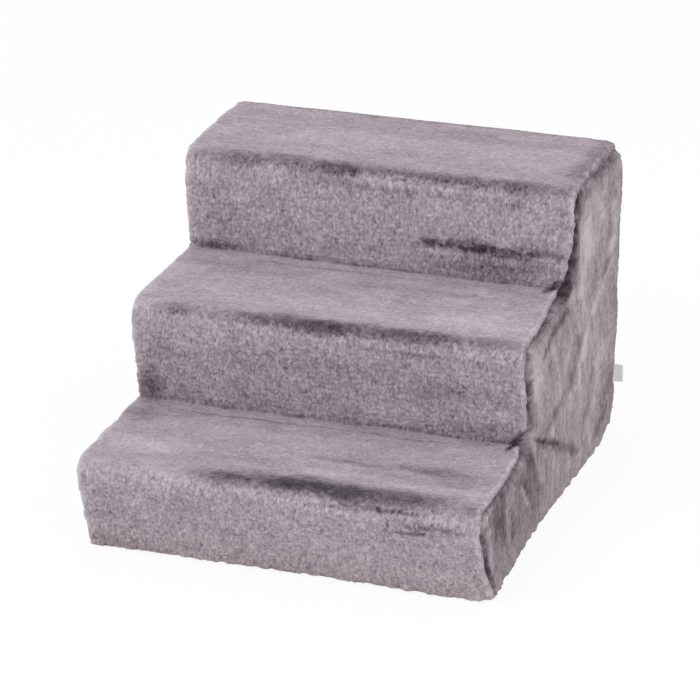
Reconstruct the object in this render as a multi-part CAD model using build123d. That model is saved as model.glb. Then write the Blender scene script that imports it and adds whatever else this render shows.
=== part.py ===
from build123d import *
from math import hypot, sqrt
import os

# Covered three-step pet stairs. A knock-down plastic frame of stacked levels carries a
# removable plush cover. X runs across the steps, Y from the lowest nose to the back,
# Z up from the floor. The origin is on the floor, under the middle of the stairs.
# All sizes are in millimetres.

# Finished stairs, measured over the plush
level_names = ("lower", "middle", "upper")
step_run = 150.0
step_rise = 103.0
overall_width = 400.0

# Each riser's foot lies this far behind the foremost point of its own nose
lower_riser_setback = 34.0
middle_riser_setback = 12.0
upper_riser_setback = 4.0
riser_setbacks = (lower_riser_setback, middle_riser_setback, upper_riser_setback)

# Plush cover
cover_thickness = 8.0
hem_gap = 2.0
crease_radius = 5.0
rear_top_radius = 8.0
edge_radius = 6.0
cover_clearance = 0.3
flap_clearance = 0.3
seam_tape_width = 8.0
seam_tape_thickness = 1.4

# Hook and loop tape that holds the cover's hem to the frame
tape_width = 20.0
tape_floor_height = 10.0
tape_end_margin = 25.0
hook_tape_thickness = 1.3
loop_tape_thickness = 1.4
tape_clearance = 0.3

# Care label in the seam at the back of the right panel
label_height = 19.5
label_middle_height = 64.5
label_thickness = 1.0
label_seam_depth = 5.0
label_reach = 5.0

# Moulded frame
wall_thickness = 2.8
frame_nose_radius = 8.0
fit_clearance = 0.3
ledge_width = 14.0
lip_height = 16.0
side_rib_depth = 8.0
rib_thickness = 1.8
rib_pitch = 42.0
bay_end_margin = 18.0
vent_width = 9.0
vent_margin = 17.0

# Riser and back boards
board_flange_depth = 10.0
tab_height = 22.0
hook_arm_thickness = 2.0
hook_height = 14.0
hook_catch = 2.0

# Tread details
groove_width = 3.0
groove_depth = 0.8
groove_count = 5
groove_side_margin = 30.0

# Push-in clips
clip_shank_radius = 2.9
clip_hole_clearance = 0.2
clip_head_margin = 1.5
clip_head_thickness = 1.3
clip_recess_depth = 1.5
clip_barb = 0.5
clip_barb_length = 4.0
clip_tip_radius = 1.6
clip_slit_width = 0.9

# Rubber feet
foot_height = 4.0
foot_side_margin = 0.6
foot_stem_radius = 2.4
foot_stem_head = 1.0
foot_stem_head_height = 1.6
foot_stem_clearance = 0.1
feet_per_side = 4

# One length by which cutting shapes run past what they cut
overrun = 1.0

# What follows from the sizes above
step_count = len(level_names)
overall_depth = step_count * step_run
front = -overall_depth / 2
rear = overall_depth / 2
tape_gap = hook_tape_thickness + tape_clearance + loop_tape_thickness
frame_depth = cover_thickness + tape_gap
frame_half_width = overall_width / 2 - frame_depth
inner_half_width = frame_half_width - wall_thickness
board_half_width = inner_half_width - fit_clearance
ledge_inner = inner_half_width - ledge_width
clip_x = inner_half_width - ledge_width / 2
cover_nose_radius = frame_nose_radius + cover_thickness
tape_top = tape_floor_height + tape_width
tread_grip = 2 * wall_thickness - clip_recess_depth
stack_grip = 3 * wall_thickness


def tread_height(level):
    """Finished height of a tread, over the plush."""
    return (level + 1) * step_rise


def frame_top(level):
    """Height of the plastic tread under the plush."""
    return tread_height(level) - cover_thickness - cover_clearance


def frame_bottom(level):
    """Height at which one level of the frame starts."""
    return frame_top(level - 1) if level else foot_height


def riser_foot(level):
    """Height at which a riser starts, on the plush."""
    return tread_height(level - 1) if level else hem_gap


def riser_slope(level):
    """How far a riser leans back per unit of drop, so that its rounded nose stands over its foot."""
    radius = cover_nose_radius
    rise = tread_height(level) - riser_foot(level) - radius
    run = riser_setbacks[level] - radius
    return (rise * run + radius * sqrt(rise**2 + run**2 - radius**2)) / (rise**2 - radius**2)


def riser_y(level, z, depth=0.0):
    """Y of a riser at height z, a given depth behind the finished surface."""
    foot = front + level * step_run + riser_setbacks[level]
    return foot - riser_slope(level) * (z - riser_foot(level)) + depth


def riser_plane(level):
    """Y on the plastic riser of a level, for a height and a depth behind its face."""
    return lambda z, depth=0.0: riser_y(level, z, frame_depth + depth)


def back_plane(z, depth=0.0):
    """Y on the plastic back, for a depth in from its face."""
    return rear - frame_depth - depth


def stair_outline(depth, drop, bottom):
    """Stepped outline in Y and Z, set in from the finished one, with sharp corners."""
    points = [(riser_y(0, bottom, depth), bottom)]
    for level in range(step_count):
        z = tread_height(level) - drop
        points.append((riser_y(level, z, depth), z))
        if level + 1 < step_count:
            points.append((riser_y(level + 1, z, depth), z))
    points.append((rear - depth, tread_height(step_count - 1) - drop))
    points.append((rear - depth, bottom))
    return points


def stair_radii(nose, crease, rear_top):
    """Corner radii that go with stair_outline."""
    radii = [0.0]
    for level in range(step_count):
        radii.append(nose)
        if level + 1 < step_count:
            radii.append(crease)
    return radii + [rear_top, 0.0]


def rounded_face(points, radii):
    """Closed face in the YZ plane, with each corner turned on its own radius."""
    count = len(points)
    starts, middles, ends = [], [], []
    for i in range(count):
        here = Vector(*points[i])
        back = Vector(*points[i - 1]) - here
        on = Vector(*points[(i + 1) % count]) - here
        if radii[i] <= 0:
            starts.append(here)
            middles.append(None)
            ends.append(here)
            continue
        half = (back.normalized() + on.normalized()).normalized()
        along = back.normalized().dot(half)
        across = hypot(*(back.normalized() - half * along))
        reach = radii[i] * along / across
        centre = here + half * (radii[i] / across)
        starts.append(here + back.normalized() * reach)
        middles.append(centre - half * radii[i])
        ends.append(here + on.normalized() * reach)
    edges = []
    for i in range(count):
        if middles[i] is not None:
            edges.append(ThreePointArc(starts[i], middles[i], ends[i]))
        edges.append(Line(ends[i], starts[(i + 1) % count]))
    return Plane.YZ * make_face(edges)


def sharp_face(points):
    """Closed face in the YZ plane with sharp corners."""
    return rounded_face(points, [0.0] * len(points))


def prism(face, x_from, x_to):
    """The face, in the YZ plane, drawn out across the stairs."""
    return Pos(min(x_from, x_to), 0, 0) * extrude(face, abs(x_to - x_from))


def block(x, y, z):
    """Box between two X, two Y and two Z values."""
    size = (abs(x[1] - x[0]), abs(y[1] - y[0]), abs(z[1] - z[0]))
    middle = (sum(x) / 2, sum(y) / 2, sum(z) / 2)
    return Pos(*middle) * Box(*size)


def slab(plane, x, depths, z):
    """Solid that follows a leaning plane, between two depths and two heights."""
    points = [
        (plane(z[0], depths[0]), z[0]),
        (plane(z[1], depths[0]), z[1]),
        (plane(z[1], depths[1]), z[1]),
        (plane(z[0], depths[1]), z[0]),
    ]
    return prism(sharp_face(points), *x)


def mirrored(shape):
    """The same piece for the other side of the stairs."""
    return mirror(shape, about=Plane.YZ)


def spread(start, end, count):
    """Evenly spaced places from start to end."""
    return [start + (end - start) * i / (count - 1) for i in range(count)]


def bay_count(length):
    """How many rib bays fit along a length."""
    return max(2, round(length / rib_pitch))


def side_rib_places(y_from):
    """Y of the side panels' upright ribs, on one grid that starts at the back."""
    count = int((back_plane(0) - y_from - rib_thickness) / rib_pitch)
    return [back_plane(0) - rib_pitch * (i + 1) for i in range(count)]


def mid_bays(y_from, y_to):
    """Places halfway between side ribs, from front to back, with a margin to both ends."""
    count = int(overall_depth / rib_pitch)
    places = [back_plane(0) - rib_pitch * (i + 1 / 2) for i in reversed(range(count))]
    inside = [y for y in places if y_from + bay_end_margin <= y <= y_to - bay_end_margin]
    return inside or [(y_from + y_to) / 2]


def outer_bays(y_from, y_to):
    """The first and the last of the places halfway between side ribs."""
    places = mid_bays(y_from, y_to)
    return sorted({places[0], places[-1]})


# Frame: push-in clips and rubber feet


def clip(x, y, top, grip):
    """Split push-in clip. Its head rests at height top and it grips that thickness."""
    head = clip_head_radius()
    barb_top = -grip - clip_hole_clearance
    tip = barb_top - clip_barb_length
    outline = Polyline(
        (0, clip_head_thickness),
        (head, clip_head_thickness),
        (head, 0),
        (clip_shank_radius, 0),
        (clip_shank_radius, barb_top),
        (clip_shank_radius + clip_barb, barb_top),
        (clip_tip_radius, tip),
        (0, tip),
        close=True,
    )
    solid = revolve(Plane.XZ * make_face(outline), Axis.Z)
    slit = block(
        (-clip_slit_width / 2, clip_slit_width / 2),
        (-head, head),
        (tip - overrun, -clip_head_thickness),
    )
    return Pos(x, y, top) * (solid - slit)


def clip_head_radius():
    """The head covers the ledge, less a margin at each side."""
    return ledge_width / 2 - clip_head_margin


def clip_hole(x, y, low, high):
    """Cutter for a clip's shank, through what lies between two heights."""
    radius = clip_shank_radius + clip_hole_clearance
    return Pos(x, y, (low + high) / 2) * Cylinder(radius, high - low + 2 * overrun)


def tread_clip_places(level):
    """Y of the two clips at each end of a tread."""
    return outer_bays(riser_plane(level)(frame_top(level)), tread_rear(level))


def stack_clip_places(level):
    """Y of the two clips that hold a level's side panel down on the one below."""
    return outer_bays(riser_plane(level)(frame_bottom(level)), back_plane(0))


def foot_places():
    """Y of the feet along one side panel, shared out over its bays."""
    places = mid_bays(riser_plane(0)(foot_height), back_plane(0))
    steps = spread(0, len(places) - 1, feet_per_side)
    return sorted({places[round(step)] for step in steps})


def rubber_foot(x, y):
    """Round pad with a stem pushed up through the side panel's bottom flange."""
    pad_radius = ledge_width / 2 - foot_side_margin
    stem_top = foot_height + wall_thickness + clip_hole_clearance
    outline = Polyline(
        (0, 0),
        (pad_radius, 0),
        (pad_radius, foot_height),
        (foot_stem_radius, foot_height),
        (foot_stem_radius, stem_top),
        (foot_stem_radius + foot_stem_head, stem_top),
        (foot_stem_radius, stem_top + foot_stem_head_height),
        (0, stem_top + foot_stem_head_height),
        close=True,
    )
    return Pos(x, y, 0) * revolve(Plane.XZ * make_face(outline), Axis.Z)


# Frame: side panels


def level_outline(level, front_in=0.0, top_in=0.0, rear_in=0.0, bottom_in=0.0):
    """Four corners of one frame level in Y and Z, each side set in by its own amount."""
    low = frame_bottom(level) + bottom_in
    high = frame_top(level) - top_in
    plane = riser_plane(level)
    back = back_plane(0, rear_in)
    return [(plane(low, front_in), low), (plane(high, front_in), high), (back, high), (back, low)]


def level_radii(level, radius):
    """Corner radii for level_outline: the nose, and the back corner of the top level."""
    nose = max(radius, 0.0)
    return [0.0, nose, nose if level == step_count - 1 else 0.0, 0.0]


def ledge_outline(level, inset=0.0):
    """Outline of a side panel's inner flange, which seats the boards and the tread.

    Above the lowest level the flange's foot is twice as thick and reaches down past the wall,
    to stand on the flange of the level below.
    """
    seat = wall_thickness + fit_clearance
    points = level_outline(
        level,
        front_in=seat + inset,
        top_in=wall_thickness + inset,
        rear_in=seat + inset,
        bottom_in=2 * inset - wall_thickness if level else inset,
    )
    radius = frame_nose_radius - wall_thickness - inset
    return rounded_face(points, level_radii(level, radius))


def side_ribs(level):
    """Upright ribs and one level rib, kept inside the flange."""
    low, high = frame_bottom(level), frame_top(level)
    inside = ledge_outline(level, wall_thickness / 2)
    depth = side_rib_depth
    start = inner_half_width - depth
    field = prism(inside, start, inner_half_width)
    tall = (low - overrun, high + overrun)
    long = (front, rear)
    across = (start - overrun, inner_half_width)
    middle = (low + high) / 2
    flat = (middle - rib_thickness / 2, middle + rib_thickness / 2)
    ribs = block(across, long, flat)
    for y in side_rib_places(riser_plane(level)(low)):
        ribs += block(across, (y - rib_thickness / 2, y + rib_thickness / 2), tall)
    return field & ribs


def vents(level):
    """Rows of upright slots between the ribs, cut through the side wall."""
    low, high = frame_bottom(level), frame_top(level)
    places = side_rib_places(riser_plane(level)(low))
    half_height = (high - low) / 2 - rib_thickness
    slot_height = half_height - vent_margin
    straight = max(slot_height - vent_width, vent_width / 2)
    slot = Plane.YZ * (Rot(0, 0, 90) * SlotCenterToCenter(straight, vent_width))
    cuts = []
    for row in (-1, 1):
        z = (low + high) / 2 + row * (half_height - vent_margin / 2) / 2
        for a, b in zip(places, places[1:]):
            cutter = extrude(slot, wall_thickness + 2 * overrun)
            cuts.append(Pos(inner_half_width - overrun, (a + b) / 2, z) * cutter)
    return cuts


def board_levels(plane_name, level):
    """Lowest and highest Z of a riser or back board."""
    low = frame_bottom(level) + fit_clearance
    under_lip = plane_name == "riser" or level == step_count - 1
    high = frame_top(level) - (lip_height if under_lip else 0.0) - fit_clearance
    return low, high


def tab_span(plane_name, level, grow=0.0):
    """Heights between which a board's end tab lies."""
    low, high = board_levels(plane_name, level)
    middle = (low + high) / 2
    return middle - tab_height / 2 - grow, middle + tab_height / 2 + grow


def tread_tab_span(level, grow=0.0):
    """Y between which a tread's end tab lies."""
    nose = riser_plane(level)(frame_top(level))
    middle = (nose + tread_rear(level)) / 2
    return middle - tab_height / 2 - grow, middle + tab_height / 2 + grow


def side_panel(level):
    """Right-hand side panel of one level: wall, inner flange, ribs, vents and notches."""
    wall = prism(
        rounded_face(level_outline(level), level_radii(level, frame_nose_radius)),
        inner_half_width,
        frame_half_width,
    )
    ring = ledge_outline(level) - ledge_outline(level, wall_thickness)
    panel = wall + prism(ring, ledge_inner, inner_half_width) + side_ribs(level)
    through = (inner_half_width - overrun, frame_half_width + overrun)
    notch_depth = (-overrun, wall_thickness + fit_clearance)
    panel -= slab(riser_plane(level), through, notch_depth, tab_span("riser", level, fit_clearance))
    panel -= slab(back_plane, through, notch_depth, tab_span("back", level, fit_clearance))
    top = frame_top(level)
    panel -= block(
        through,
        tread_tab_span(level, fit_clearance),
        (top - wall_thickness - fit_clearance, top + overrun),
    )
    for cutter in vents(level):
        panel -= cutter
    held_above = stack_clip_places(level + 1) if level + 1 < step_count else []
    for y in tread_clip_places(level) + held_above:
        panel -= clip_hole(clip_x, y, top - 2 * wall_thickness, top - wall_thickness)
    if level:
        for y in stack_clip_places(level):
            panel -= clip_hole(clip_x, y, top_of_flange_foot(level) - stack_grip, top_of_flange_foot(level))
    else:
        for y in foot_places():
            hole = Cylinder(foot_stem_radius + foot_stem_clearance, 2 * wall_thickness)
            panel -= Pos(clip_x, y, foot_height + wall_thickness / 2) * hole
    return panel


def top_of_flange_foot(level):
    """Height of the face inside an upper level's panel that its stack clips press on."""
    return frame_bottom(level) + wall_thickness


# Frame: boards and treads


def board(plane, plane_name, level):
    """Riser or back board: a wall with flanges, ribs, end tabs and four snap hooks."""
    low, high = board_levels(plane_name, level)
    flange_half = ledge_inner - fit_clearance - hook_arm_thickness - fit_clearance
    shape = slab(plane, (-board_half_width, board_half_width), (0, wall_thickness), (low, high))
    flange_x = (-flange_half, flange_half)
    flange_depths = (0, board_flange_depth)
    shape += slab(plane, flange_x, flange_depths, (low, low + wall_thickness))
    shape += slab(plane, flange_x, flange_depths, (high - wall_thickness, high))
    for x in spread(-flange_half, flange_half, bay_count(2 * flange_half) + 1):
        inward = -rib_thickness if x > 0 else rib_thickness
        ends = (x, x + inward) if abs(x) == flange_half else (x - rib_thickness / 2, x + rib_thickness / 2)
        shape += slab(plane, (min(ends), max(ends)), (0, side_rib_depth), (low, high))
    span = tab_span(plane_name, level)
    for side in (-1, 1):
        tab = slab(plane, (side * board_half_width, side * frame_half_width), (0, wall_thickness), span)
        shape += tab
        shape += snap_hooks(plane, low, high, side)
    return shape


def snap_hooks(plane, low, high, side):
    """Two arms at one end of a board that catch behind the side panel's flange."""
    arm_out = ledge_inner - fit_clearance
    arm_in = arm_out - hook_arm_thickness
    seat = wall_thickness + fit_clearance
    behind = seat + wall_thickness + fit_clearance
    reach = behind + hook_catch
    hooks = Part()
    for middle in (low + (high - low) / 4, high - (high - low) / 4):
        span = (middle - hook_height / 2, middle + hook_height / 2)
        hooks += slab(plane, (side * arm_in, side * arm_out), (0, reach), span)
        catch_x = (side * arm_in, side * (arm_out + hook_catch))
        hooks += slab(plane, catch_x, (behind, reach), span)
    return hooks


def tread_rear(level):
    """Y of a tread's back edge: under the next riser board, or at the back."""
    if level + 1 < step_count:
        return riser_plane(level + 1)(frame_top(level), wall_thickness)
    return back_plane(0)


def tread_ribs(level, nose, back, bottom):
    """Grid of ribs under a tread, grown from the middle of its wall."""
    half = ledge_inner - fit_clearance
    into = wall_thickness / 2
    inside = rounded_face(
        level_outline(level, into, into, into, -overrun),
        level_radii(level, frame_nose_radius - into),
    )
    whole_z = (bottom, frame_top(level))
    field = prism(inside, -half, half) & block((-half, half), (front, back), whole_z)
    grid = Part()
    for x in spread(-half, half, bay_count(2 * half) + 1)[1:-1]:
        grid += block((x - rib_thickness / 2, x + rib_thickness / 2), (front, back), whole_z)
    for y in spread(nose, back, bay_count(back - nose) + 1)[1:-1]:
        grid += block((-half, half), (y - rib_thickness / 2, y + rib_thickness / 2), whole_z)
    return field & grid


def tread(level):
    """Tread with a rolled nose, ribs underneath, end tabs and grip grooves."""
    top = frame_top(level)
    lip_bottom = top - lip_height
    nose = riser_plane(level)(top)
    back = tread_rear(level)
    outer = rounded_face(level_outline(level), level_radii(level, frame_nose_radius))
    inner = rounded_face(
        level_outline(level, wall_thickness, wall_thickness, wall_thickness, -overrun),
        level_radii(level, frame_nose_radius - wall_thickness),
    )
    shell = prism(outer - inner, -board_half_width, board_half_width)
    kept_y = (front - overrun, back if level + 1 < step_count else rear)
    shape = shell & block((-overall_width, overall_width), kept_y, (lip_bottom, top + overrun))
    shape += tread_ribs(level, nose, back, lip_bottom)
    for side in (-1, 1):
        ends = (side * board_half_width, side * frame_half_width)
        shape += block((min(ends), max(ends)), tread_tab_span(level), (top - wall_thickness, top))
    groove_half = board_half_width - groove_side_margin
    for y in spread(nose, back, groove_count + 2)[1:-1]:
        band = (y - groove_width / 2, y + groove_width / 2)
        shape -= block((-groove_half, groove_half), band, (top - groove_depth, top + overrun))
    recess_radius = clip_head_radius() + fit_clearance
    recess = Cylinder(recess_radius, 2 * clip_recess_depth)
    for x in (-clip_x, clip_x):
        for y in tread_clip_places(level):
            shape -= Pos(x, y, top) * recess
            shape -= clip_hole(x, y, top - wall_thickness, top)
    return shape


# Hook and loop tapes


def tape_y():
    """Y between which the tapes along the sides lie."""
    first = riser_plane(0)(tape_floor_height) + tape_end_margin
    return first, back_plane(0) - tape_end_margin


def side_tape(start, thickness):
    """Strip along the right side, from a distance outside the frame's wall."""
    x = frame_half_width + start
    return block((x, x + thickness), tape_y(), (tape_floor_height, tape_top))


def cross_tape(plane, start, thickness):
    """Strip across the front or back, from a distance outside the frame's face."""
    half = frame_half_width - tape_end_margin
    return slab(plane, (-half, half), (-start - thickness, -start), (tape_floor_height, tape_top))


# Plush cover


def cover_ring():
    """The cover's stepped wall seen from the side, from the front hem to the back hem."""
    outer = rounded_face(
        stair_outline(0.0, 0.0, hem_gap),
        stair_radii(cover_nose_radius, crease_radius, rear_top_radius),
    )
    return outer - cover_inside(0.0)


def cover_inside(inset):
    """The space inside the cover seen from the side, open at the hem."""
    depth = cover_thickness + inset
    nose = max(frame_nose_radius - inset, 0.0)
    crease = crease_radius + depth
    rear_top = max(rear_top_radius - depth, 0.0)
    return rounded_face(
        stair_outline(depth, depth, hem_gap - overrun),
        stair_radii(nose, crease, rear_top),
    )


def back_seam_height():
    """Height of the seam on which the back flap hangs from the step panel."""
    return tread_height(step_count - 1) - cover_nose_radius


def back_zone(half, top):
    """Block round the cover's back wall, with a half width and an upper end."""
    y = (rear - cover_thickness - overrun, rear + overrun)
    return block((-half, half), y, (hem_gap - overrun, top))


def cover_side_panel():
    """Right-hand stepped panel with its outer edge turned over softly."""
    half = overall_width / 2
    outline = rounded_face(
        stair_outline(0.0, 0.0, hem_gap),
        stair_radii(cover_nose_radius, crease_radius, rear_top_radius),
    )
    panel = prism(outline, half - cover_thickness, half)
    rim = panel.edges().filter_by(lambda e: e.center().X > half - edge_radius / 2)
    rim = [e for e in rim if e.center().Z > hem_gap + overrun / 2]
    return fillet(rim, edge_radius)


def seam_tape():
    """Tape over the right-hand seam, inside the cover."""
    inside = cover_inside(0.0) - cover_inside(seam_tape_width)
    x = overall_width / 2 - cover_thickness
    strip = prism(inside, x - seam_tape_thickness, x)
    reach = 2 * overall_depth
    hem = block((-reach, reach), (-reach, reach), (hem_gap - 2 * overrun, hem_gap))
    return strip - hem


def care_label():
    """Folded label that stands out of the seam at the back of the right panel."""
    half = overall_width / 2
    y = rear - edge_radius
    return block(
        (half - label_seam_depth, half + label_reach),
        (y - label_thickness / 2, y + label_thickness / 2),
        (label_middle_height - label_height / 2, label_middle_height + label_height / 2),
    )


parts = {}
for number, name in enumerate(level_names):
    panel = side_panel(number)
    parts[f"{name}_side_panel_right"] = panel
    parts[f"{name}_side_panel_left"] = mirrored(panel)
    parts[f"{name}_riser_board"] = board(riser_plane(number), "riser", number)
    parts[f"{name}_back_board"] = board(back_plane, "back", number)
    parts[f"{name}_tread"] = tread(number)
    head_seat = frame_top(number) - clip_recess_depth
    parts[f"{name}_tread_clips"] = [
        clip(x, y, head_seat, tread_grip)
        for x in (-clip_x, clip_x)
        for y in tread_clip_places(number)
    ]

stack_clips = [
    clip(clip_x, y, top_of_flange_foot(level), stack_grip)
    for level in range(1, step_count)
    for y in stack_clip_places(level)
]
parts["stack_clips_right"] = stack_clips
parts["stack_clips_left"] = [mirrored(piece) for piece in stack_clips]

feet = [rubber_foot(clip_x, y) for y in foot_places()]
parts["rubber_feet_right"] = feet
parts["rubber_feet_left"] = [mirrored(piece) for piece in feet]

loop_start = hook_tape_thickness + tape_clearance
hook_side = side_tape(0.0, hook_tape_thickness)
loop_side = side_tape(loop_start, loop_tape_thickness)
parts["hook_tape_right"] = hook_side
parts["hook_tape_left"] = mirrored(hook_side)
parts["hook_tape_front"] = cross_tape(riser_plane(0), 0.0, hook_tape_thickness)
parts["hook_tape_back"] = cross_tape(back_plane, 0.0, hook_tape_thickness)
parts["loop_tape_right"] = loop_side
parts["loop_tape_left"] = mirrored(loop_side)
parts["loop_tape_front"] = cross_tape(riser_plane(0), loop_start, loop_tape_thickness)
parts["loop_tape_back"] = cross_tape(back_plane, loop_start, loop_tape_thickness)

cover_wall = prism(
    cover_ring(),
    -overall_width / 2 + cover_thickness,
    overall_width / 2 - cover_thickness,
)
side_cover = cover_side_panel()
tape_over_seam = seam_tape()
label = care_label()
flap_half_width = overall_width / 2 - cover_thickness - flap_clearance
parts["cover_step_panel"] = cover_wall - back_zone(overall_width, back_seam_height())
parts["cover_back_flap"] = cover_wall & back_zone(flap_half_width, back_seam_height() - flap_clearance)
parts["cover_right_panel"] = side_cover - label
parts["cover_left_panel"] = mirrored(side_cover)
parts["seam_tape_right"] = tape_over_seam
parts["seam_tape_left"] = mirrored(tape_over_seam)
parts["care_label"] = label

os.makedirs("parts", exist_ok=True)
for name, shape in parts.items():
    solids = shape if isinstance(shape, list) else [shape]
    bodies = [solid for piece in solids for solid in piece.solids()]
    whole = Compound(label=name, children=bodies)
    export_step(whole, f"parts/{name}.step")
    size = whole.bounding_box().size
    print(f"{name}: {len(bodies)} solid(s), {size.X:.1f} x {size.Y:.1f} x {size.Z:.1f} mm")
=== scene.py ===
import math

import bpy
import numpy as np
from mathutils import Matrix, Vector


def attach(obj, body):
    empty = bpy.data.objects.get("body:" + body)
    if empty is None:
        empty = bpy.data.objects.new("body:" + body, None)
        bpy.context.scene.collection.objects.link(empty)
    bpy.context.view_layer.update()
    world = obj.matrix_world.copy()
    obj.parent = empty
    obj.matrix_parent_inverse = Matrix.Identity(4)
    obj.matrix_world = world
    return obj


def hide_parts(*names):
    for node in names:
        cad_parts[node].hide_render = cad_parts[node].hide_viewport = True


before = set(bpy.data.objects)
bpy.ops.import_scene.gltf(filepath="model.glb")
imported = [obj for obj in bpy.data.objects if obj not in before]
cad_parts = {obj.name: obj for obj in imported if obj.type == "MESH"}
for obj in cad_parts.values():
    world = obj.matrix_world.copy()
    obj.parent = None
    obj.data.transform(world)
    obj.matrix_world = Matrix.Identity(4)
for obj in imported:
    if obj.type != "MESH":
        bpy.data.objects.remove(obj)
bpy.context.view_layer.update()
print("pet stairs: frame loaded,", len(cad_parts), "nodes")

# Everything below is worked out in millimetres and turned into metres when a mesh is made.
mm = 0.001
stairs = {
    "rise": 103.0,
    "rear": 225.0,
    "hem": 2.0,
    "riserFeet": (-191.0, -63.0, 79.0),  # y where each riser starts
    "riserLeans": (0.4156, 0.1397, 0.0462),  # forward per unit of height
    "hemRadius": 2.5,
    "noseRadius": 16.0,
    "creaseRadius": 4.0,
    "rearRadius": 5.0,
    "seamTop": 293.0,  # height of the seam along the top of the back
    "turnedUnder": 7.6,  # how far an edge that is turned in goes under the face
    "flapHalfWidth": 191.6,
    "flapTop": 292.6,
}


# Small number helpers


def linear(colour):
    # 0 to 255 screen colour as Blender wants it
    return tuple((c / 255 / 12.92) if c < 10.3 else ((c / 255 + 0.055) / 1.055) ** 2.4 for c in colour)


def smooth(value, low, high):
    t = np.clip((value - low) / (high - low), 0, 1)
    return t * t * (3 - 2 * t)


def scatter(i, j, seed):
    # a fixed number from 0 to 1 for each whole-numbered place
    n = (i.astype(np.int64) * 73856093) ^ (j.astype(np.int64) * 19349663) ^ (seed * 83492791)
    n = (n & 0xFFFFFFFF) * 2654435761 & 0xFFFFFFFF
    n = ((n ^ (n >> 15)) * 2246822519) & 0xFFFFFFFF
    n = ((n ^ (n >> 13)) * 3266489917) & 0xFFFFFFFF
    return ((n ^ (n >> 16)) & 0xFFFFFF) / float(0x1000000)


def mottle(u, v, seed):
    # soft noise from -1 to 1, one grain per unit
    iu, iv = np.floor(u), np.floor(v)
    fu, fv = u - iu, v - iv
    fu, fv = fu * fu * (3 - 2 * fu), fv * fv * (3 - 2 * fv)
    a, b = scatter(iu, iv, seed), scatter(iu + 1, iv, seed)
    c, d = scatter(iu, iv + 1, seed), scatter(iu + 1, iv + 1, seed)
    return 2 * ((a * (1 - fu) + b * fu) * (1 - fv) + (c * (1 - fu) + d * fu) * fv) - 1


def ripple(u, seed, row=0.0):
    # soft noise that changes in one direction only
    return mottle(u, u * 0 + row, seed)


def hill(distance, width):
    # 1 where the distance is nothing, fading both ways
    return np.exp(-((distance / width) ** 2))


def layeredMottle(u, v, seed, layers=3):
    total, size, weight = 0.0, 1.0, 0.0
    for k in range(layers):
        total = total + mottle(u * 2**k, v * 2**k, seed + 17 * k) * size
        weight += size
        size *= 0.55
    return total / weight


def tufts(u, v, seed, spread=0.85):
    # nearest and second nearest tuft centres, one tuft per unit square
    iu, iv = np.floor(u), np.floor(v)
    near = second = np.full(u.shape, 9.0)
    best = [np.zeros(u.shape)] * 3  # the tuft's own number, and the way to it across and along
    for du in (-1, 0, 1):
        for dv in (-1, 0, 1):
            cu, cv = iu + du, iv + dv
            pu = cu + 0.5 + spread * (scatter(cu, cv, seed) - 0.5)
            pv = cv + 0.5 + spread * (scatter(cu, cv, seed + 1) - 0.5)
            d = np.hypot(u - pu, v - pv)
            closer = d < near
            second = np.where(closer, near, np.minimum(second, d))
            near = np.where(closer, d, near)
            fresh = (scatter(cu, cv, seed + 2), u - pu, v - pv)
            best = [np.where(closer, a, b) for a, b in zip(fresh, best)]
    return near, second, *best


def tuftShape(u, v, seed, p):
    # how much of a tuft each point is, how far it is from a cleft, the tuft's own number from
    # -0.5 to 0.5, and the way along to its middle
    near, second, luck, _, along = tufts(u / p["width"], v / p["length"], seed)
    cleft = smooth(second - near, 0.0, p["cleft"])
    return (1 - np.clip(near / p["crown"], 0, 1) ** 2) * cleft, cleft, luck - 0.5, along


# The stepped line of the cover, seen from the side


def riserY(level, z):
    foot = stairs["hem"] if level == 0 else level * stairs["rise"]
    return stairs["riserFeet"][level] - stairs["riserLeans"][level] * (z - foot)


def turnedPath(corners, spacing=0.25):
    # dense points along a line whose corners (y, z, radius) are turned, how far along each of
    # them lies, and how far along the middle of each corner comes
    last, length = np.array(corners[0][:2], float), 0.0
    runs, marks = [last[None]], []

    def straightTo(place):
        count = max(int(np.hypot(*(place - last)) / spacing), 1)
        runs.append(last + (place - last) * (np.arange(1, count + 1) / count)[:, None])
        return length + np.hypot(*(place - last))

    for k in range(1, len(corners)):
        here, radius = np.array(corners[k][:2], float), corners[k][2]
        if k == len(corners) - 1 or radius <= 0:
            length, last = straightTo(here), here
            marks.append(length)
            continue
        after = np.array(corners[k + 1][:2], float)
        a, b = (last - here) / np.hypot(*(last - here)), (after - here) / np.hypot(*(after - here))
        half = (a + b) / np.hypot(*(a + b))
        along = a @ half
        across = math.sqrt(1 - along * along)
        reach = radius * along / across
        start, end, centre = here + a * reach, here + b * reach, here + half * radius / across
        length = straightTo(start)
        t0, t1 = (math.atan2(*(p - centre)[::-1]) for p in (start, end))
        turn = (t1 - t0 + math.pi) % (2 * math.pi) - math.pi
        count = max(int(abs(turn) * radius / spacing), 4)
        t = t0 + turn * np.arange(1, count + 1) / count
        runs.append(centre + radius * np.column_stack([np.cos(t), np.sin(t)]))
        marks.append(length + abs(turn) * radius / 2)
        length += abs(turn) * radius
        last = end
    points = np.concatenate(runs)
    steps = np.hypot(*np.diff(points, axis=0).T)
    points = points[np.concatenate([[True], steps > 1e-6])]
    return points, np.concatenate([[0], np.cumsum(np.hypot(*np.diff(points, axis=0).T))]), marks


def movedIn(line, depth):
    # a line moved sideways to the inside, by a depth that may differ along it
    tangent = np.gradient(line, axis=0)
    tangent /= np.linalg.norm(tangent, axis=1, keepdims=True)
    return line + np.column_stack([tangent[:, 1], -tangent[:, 0]]) * np.reshape(depth, (-1, 1))


def placesBetween(stops, counts):
    # evenly spread places from stop to stop, with each stop among them once
    runs = [np.linspace(a, b, n + 1)[1:] for a, b, n in zip(stops, stops[1:], counts)]
    return np.concatenate([[stops[0]], *runs])


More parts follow.
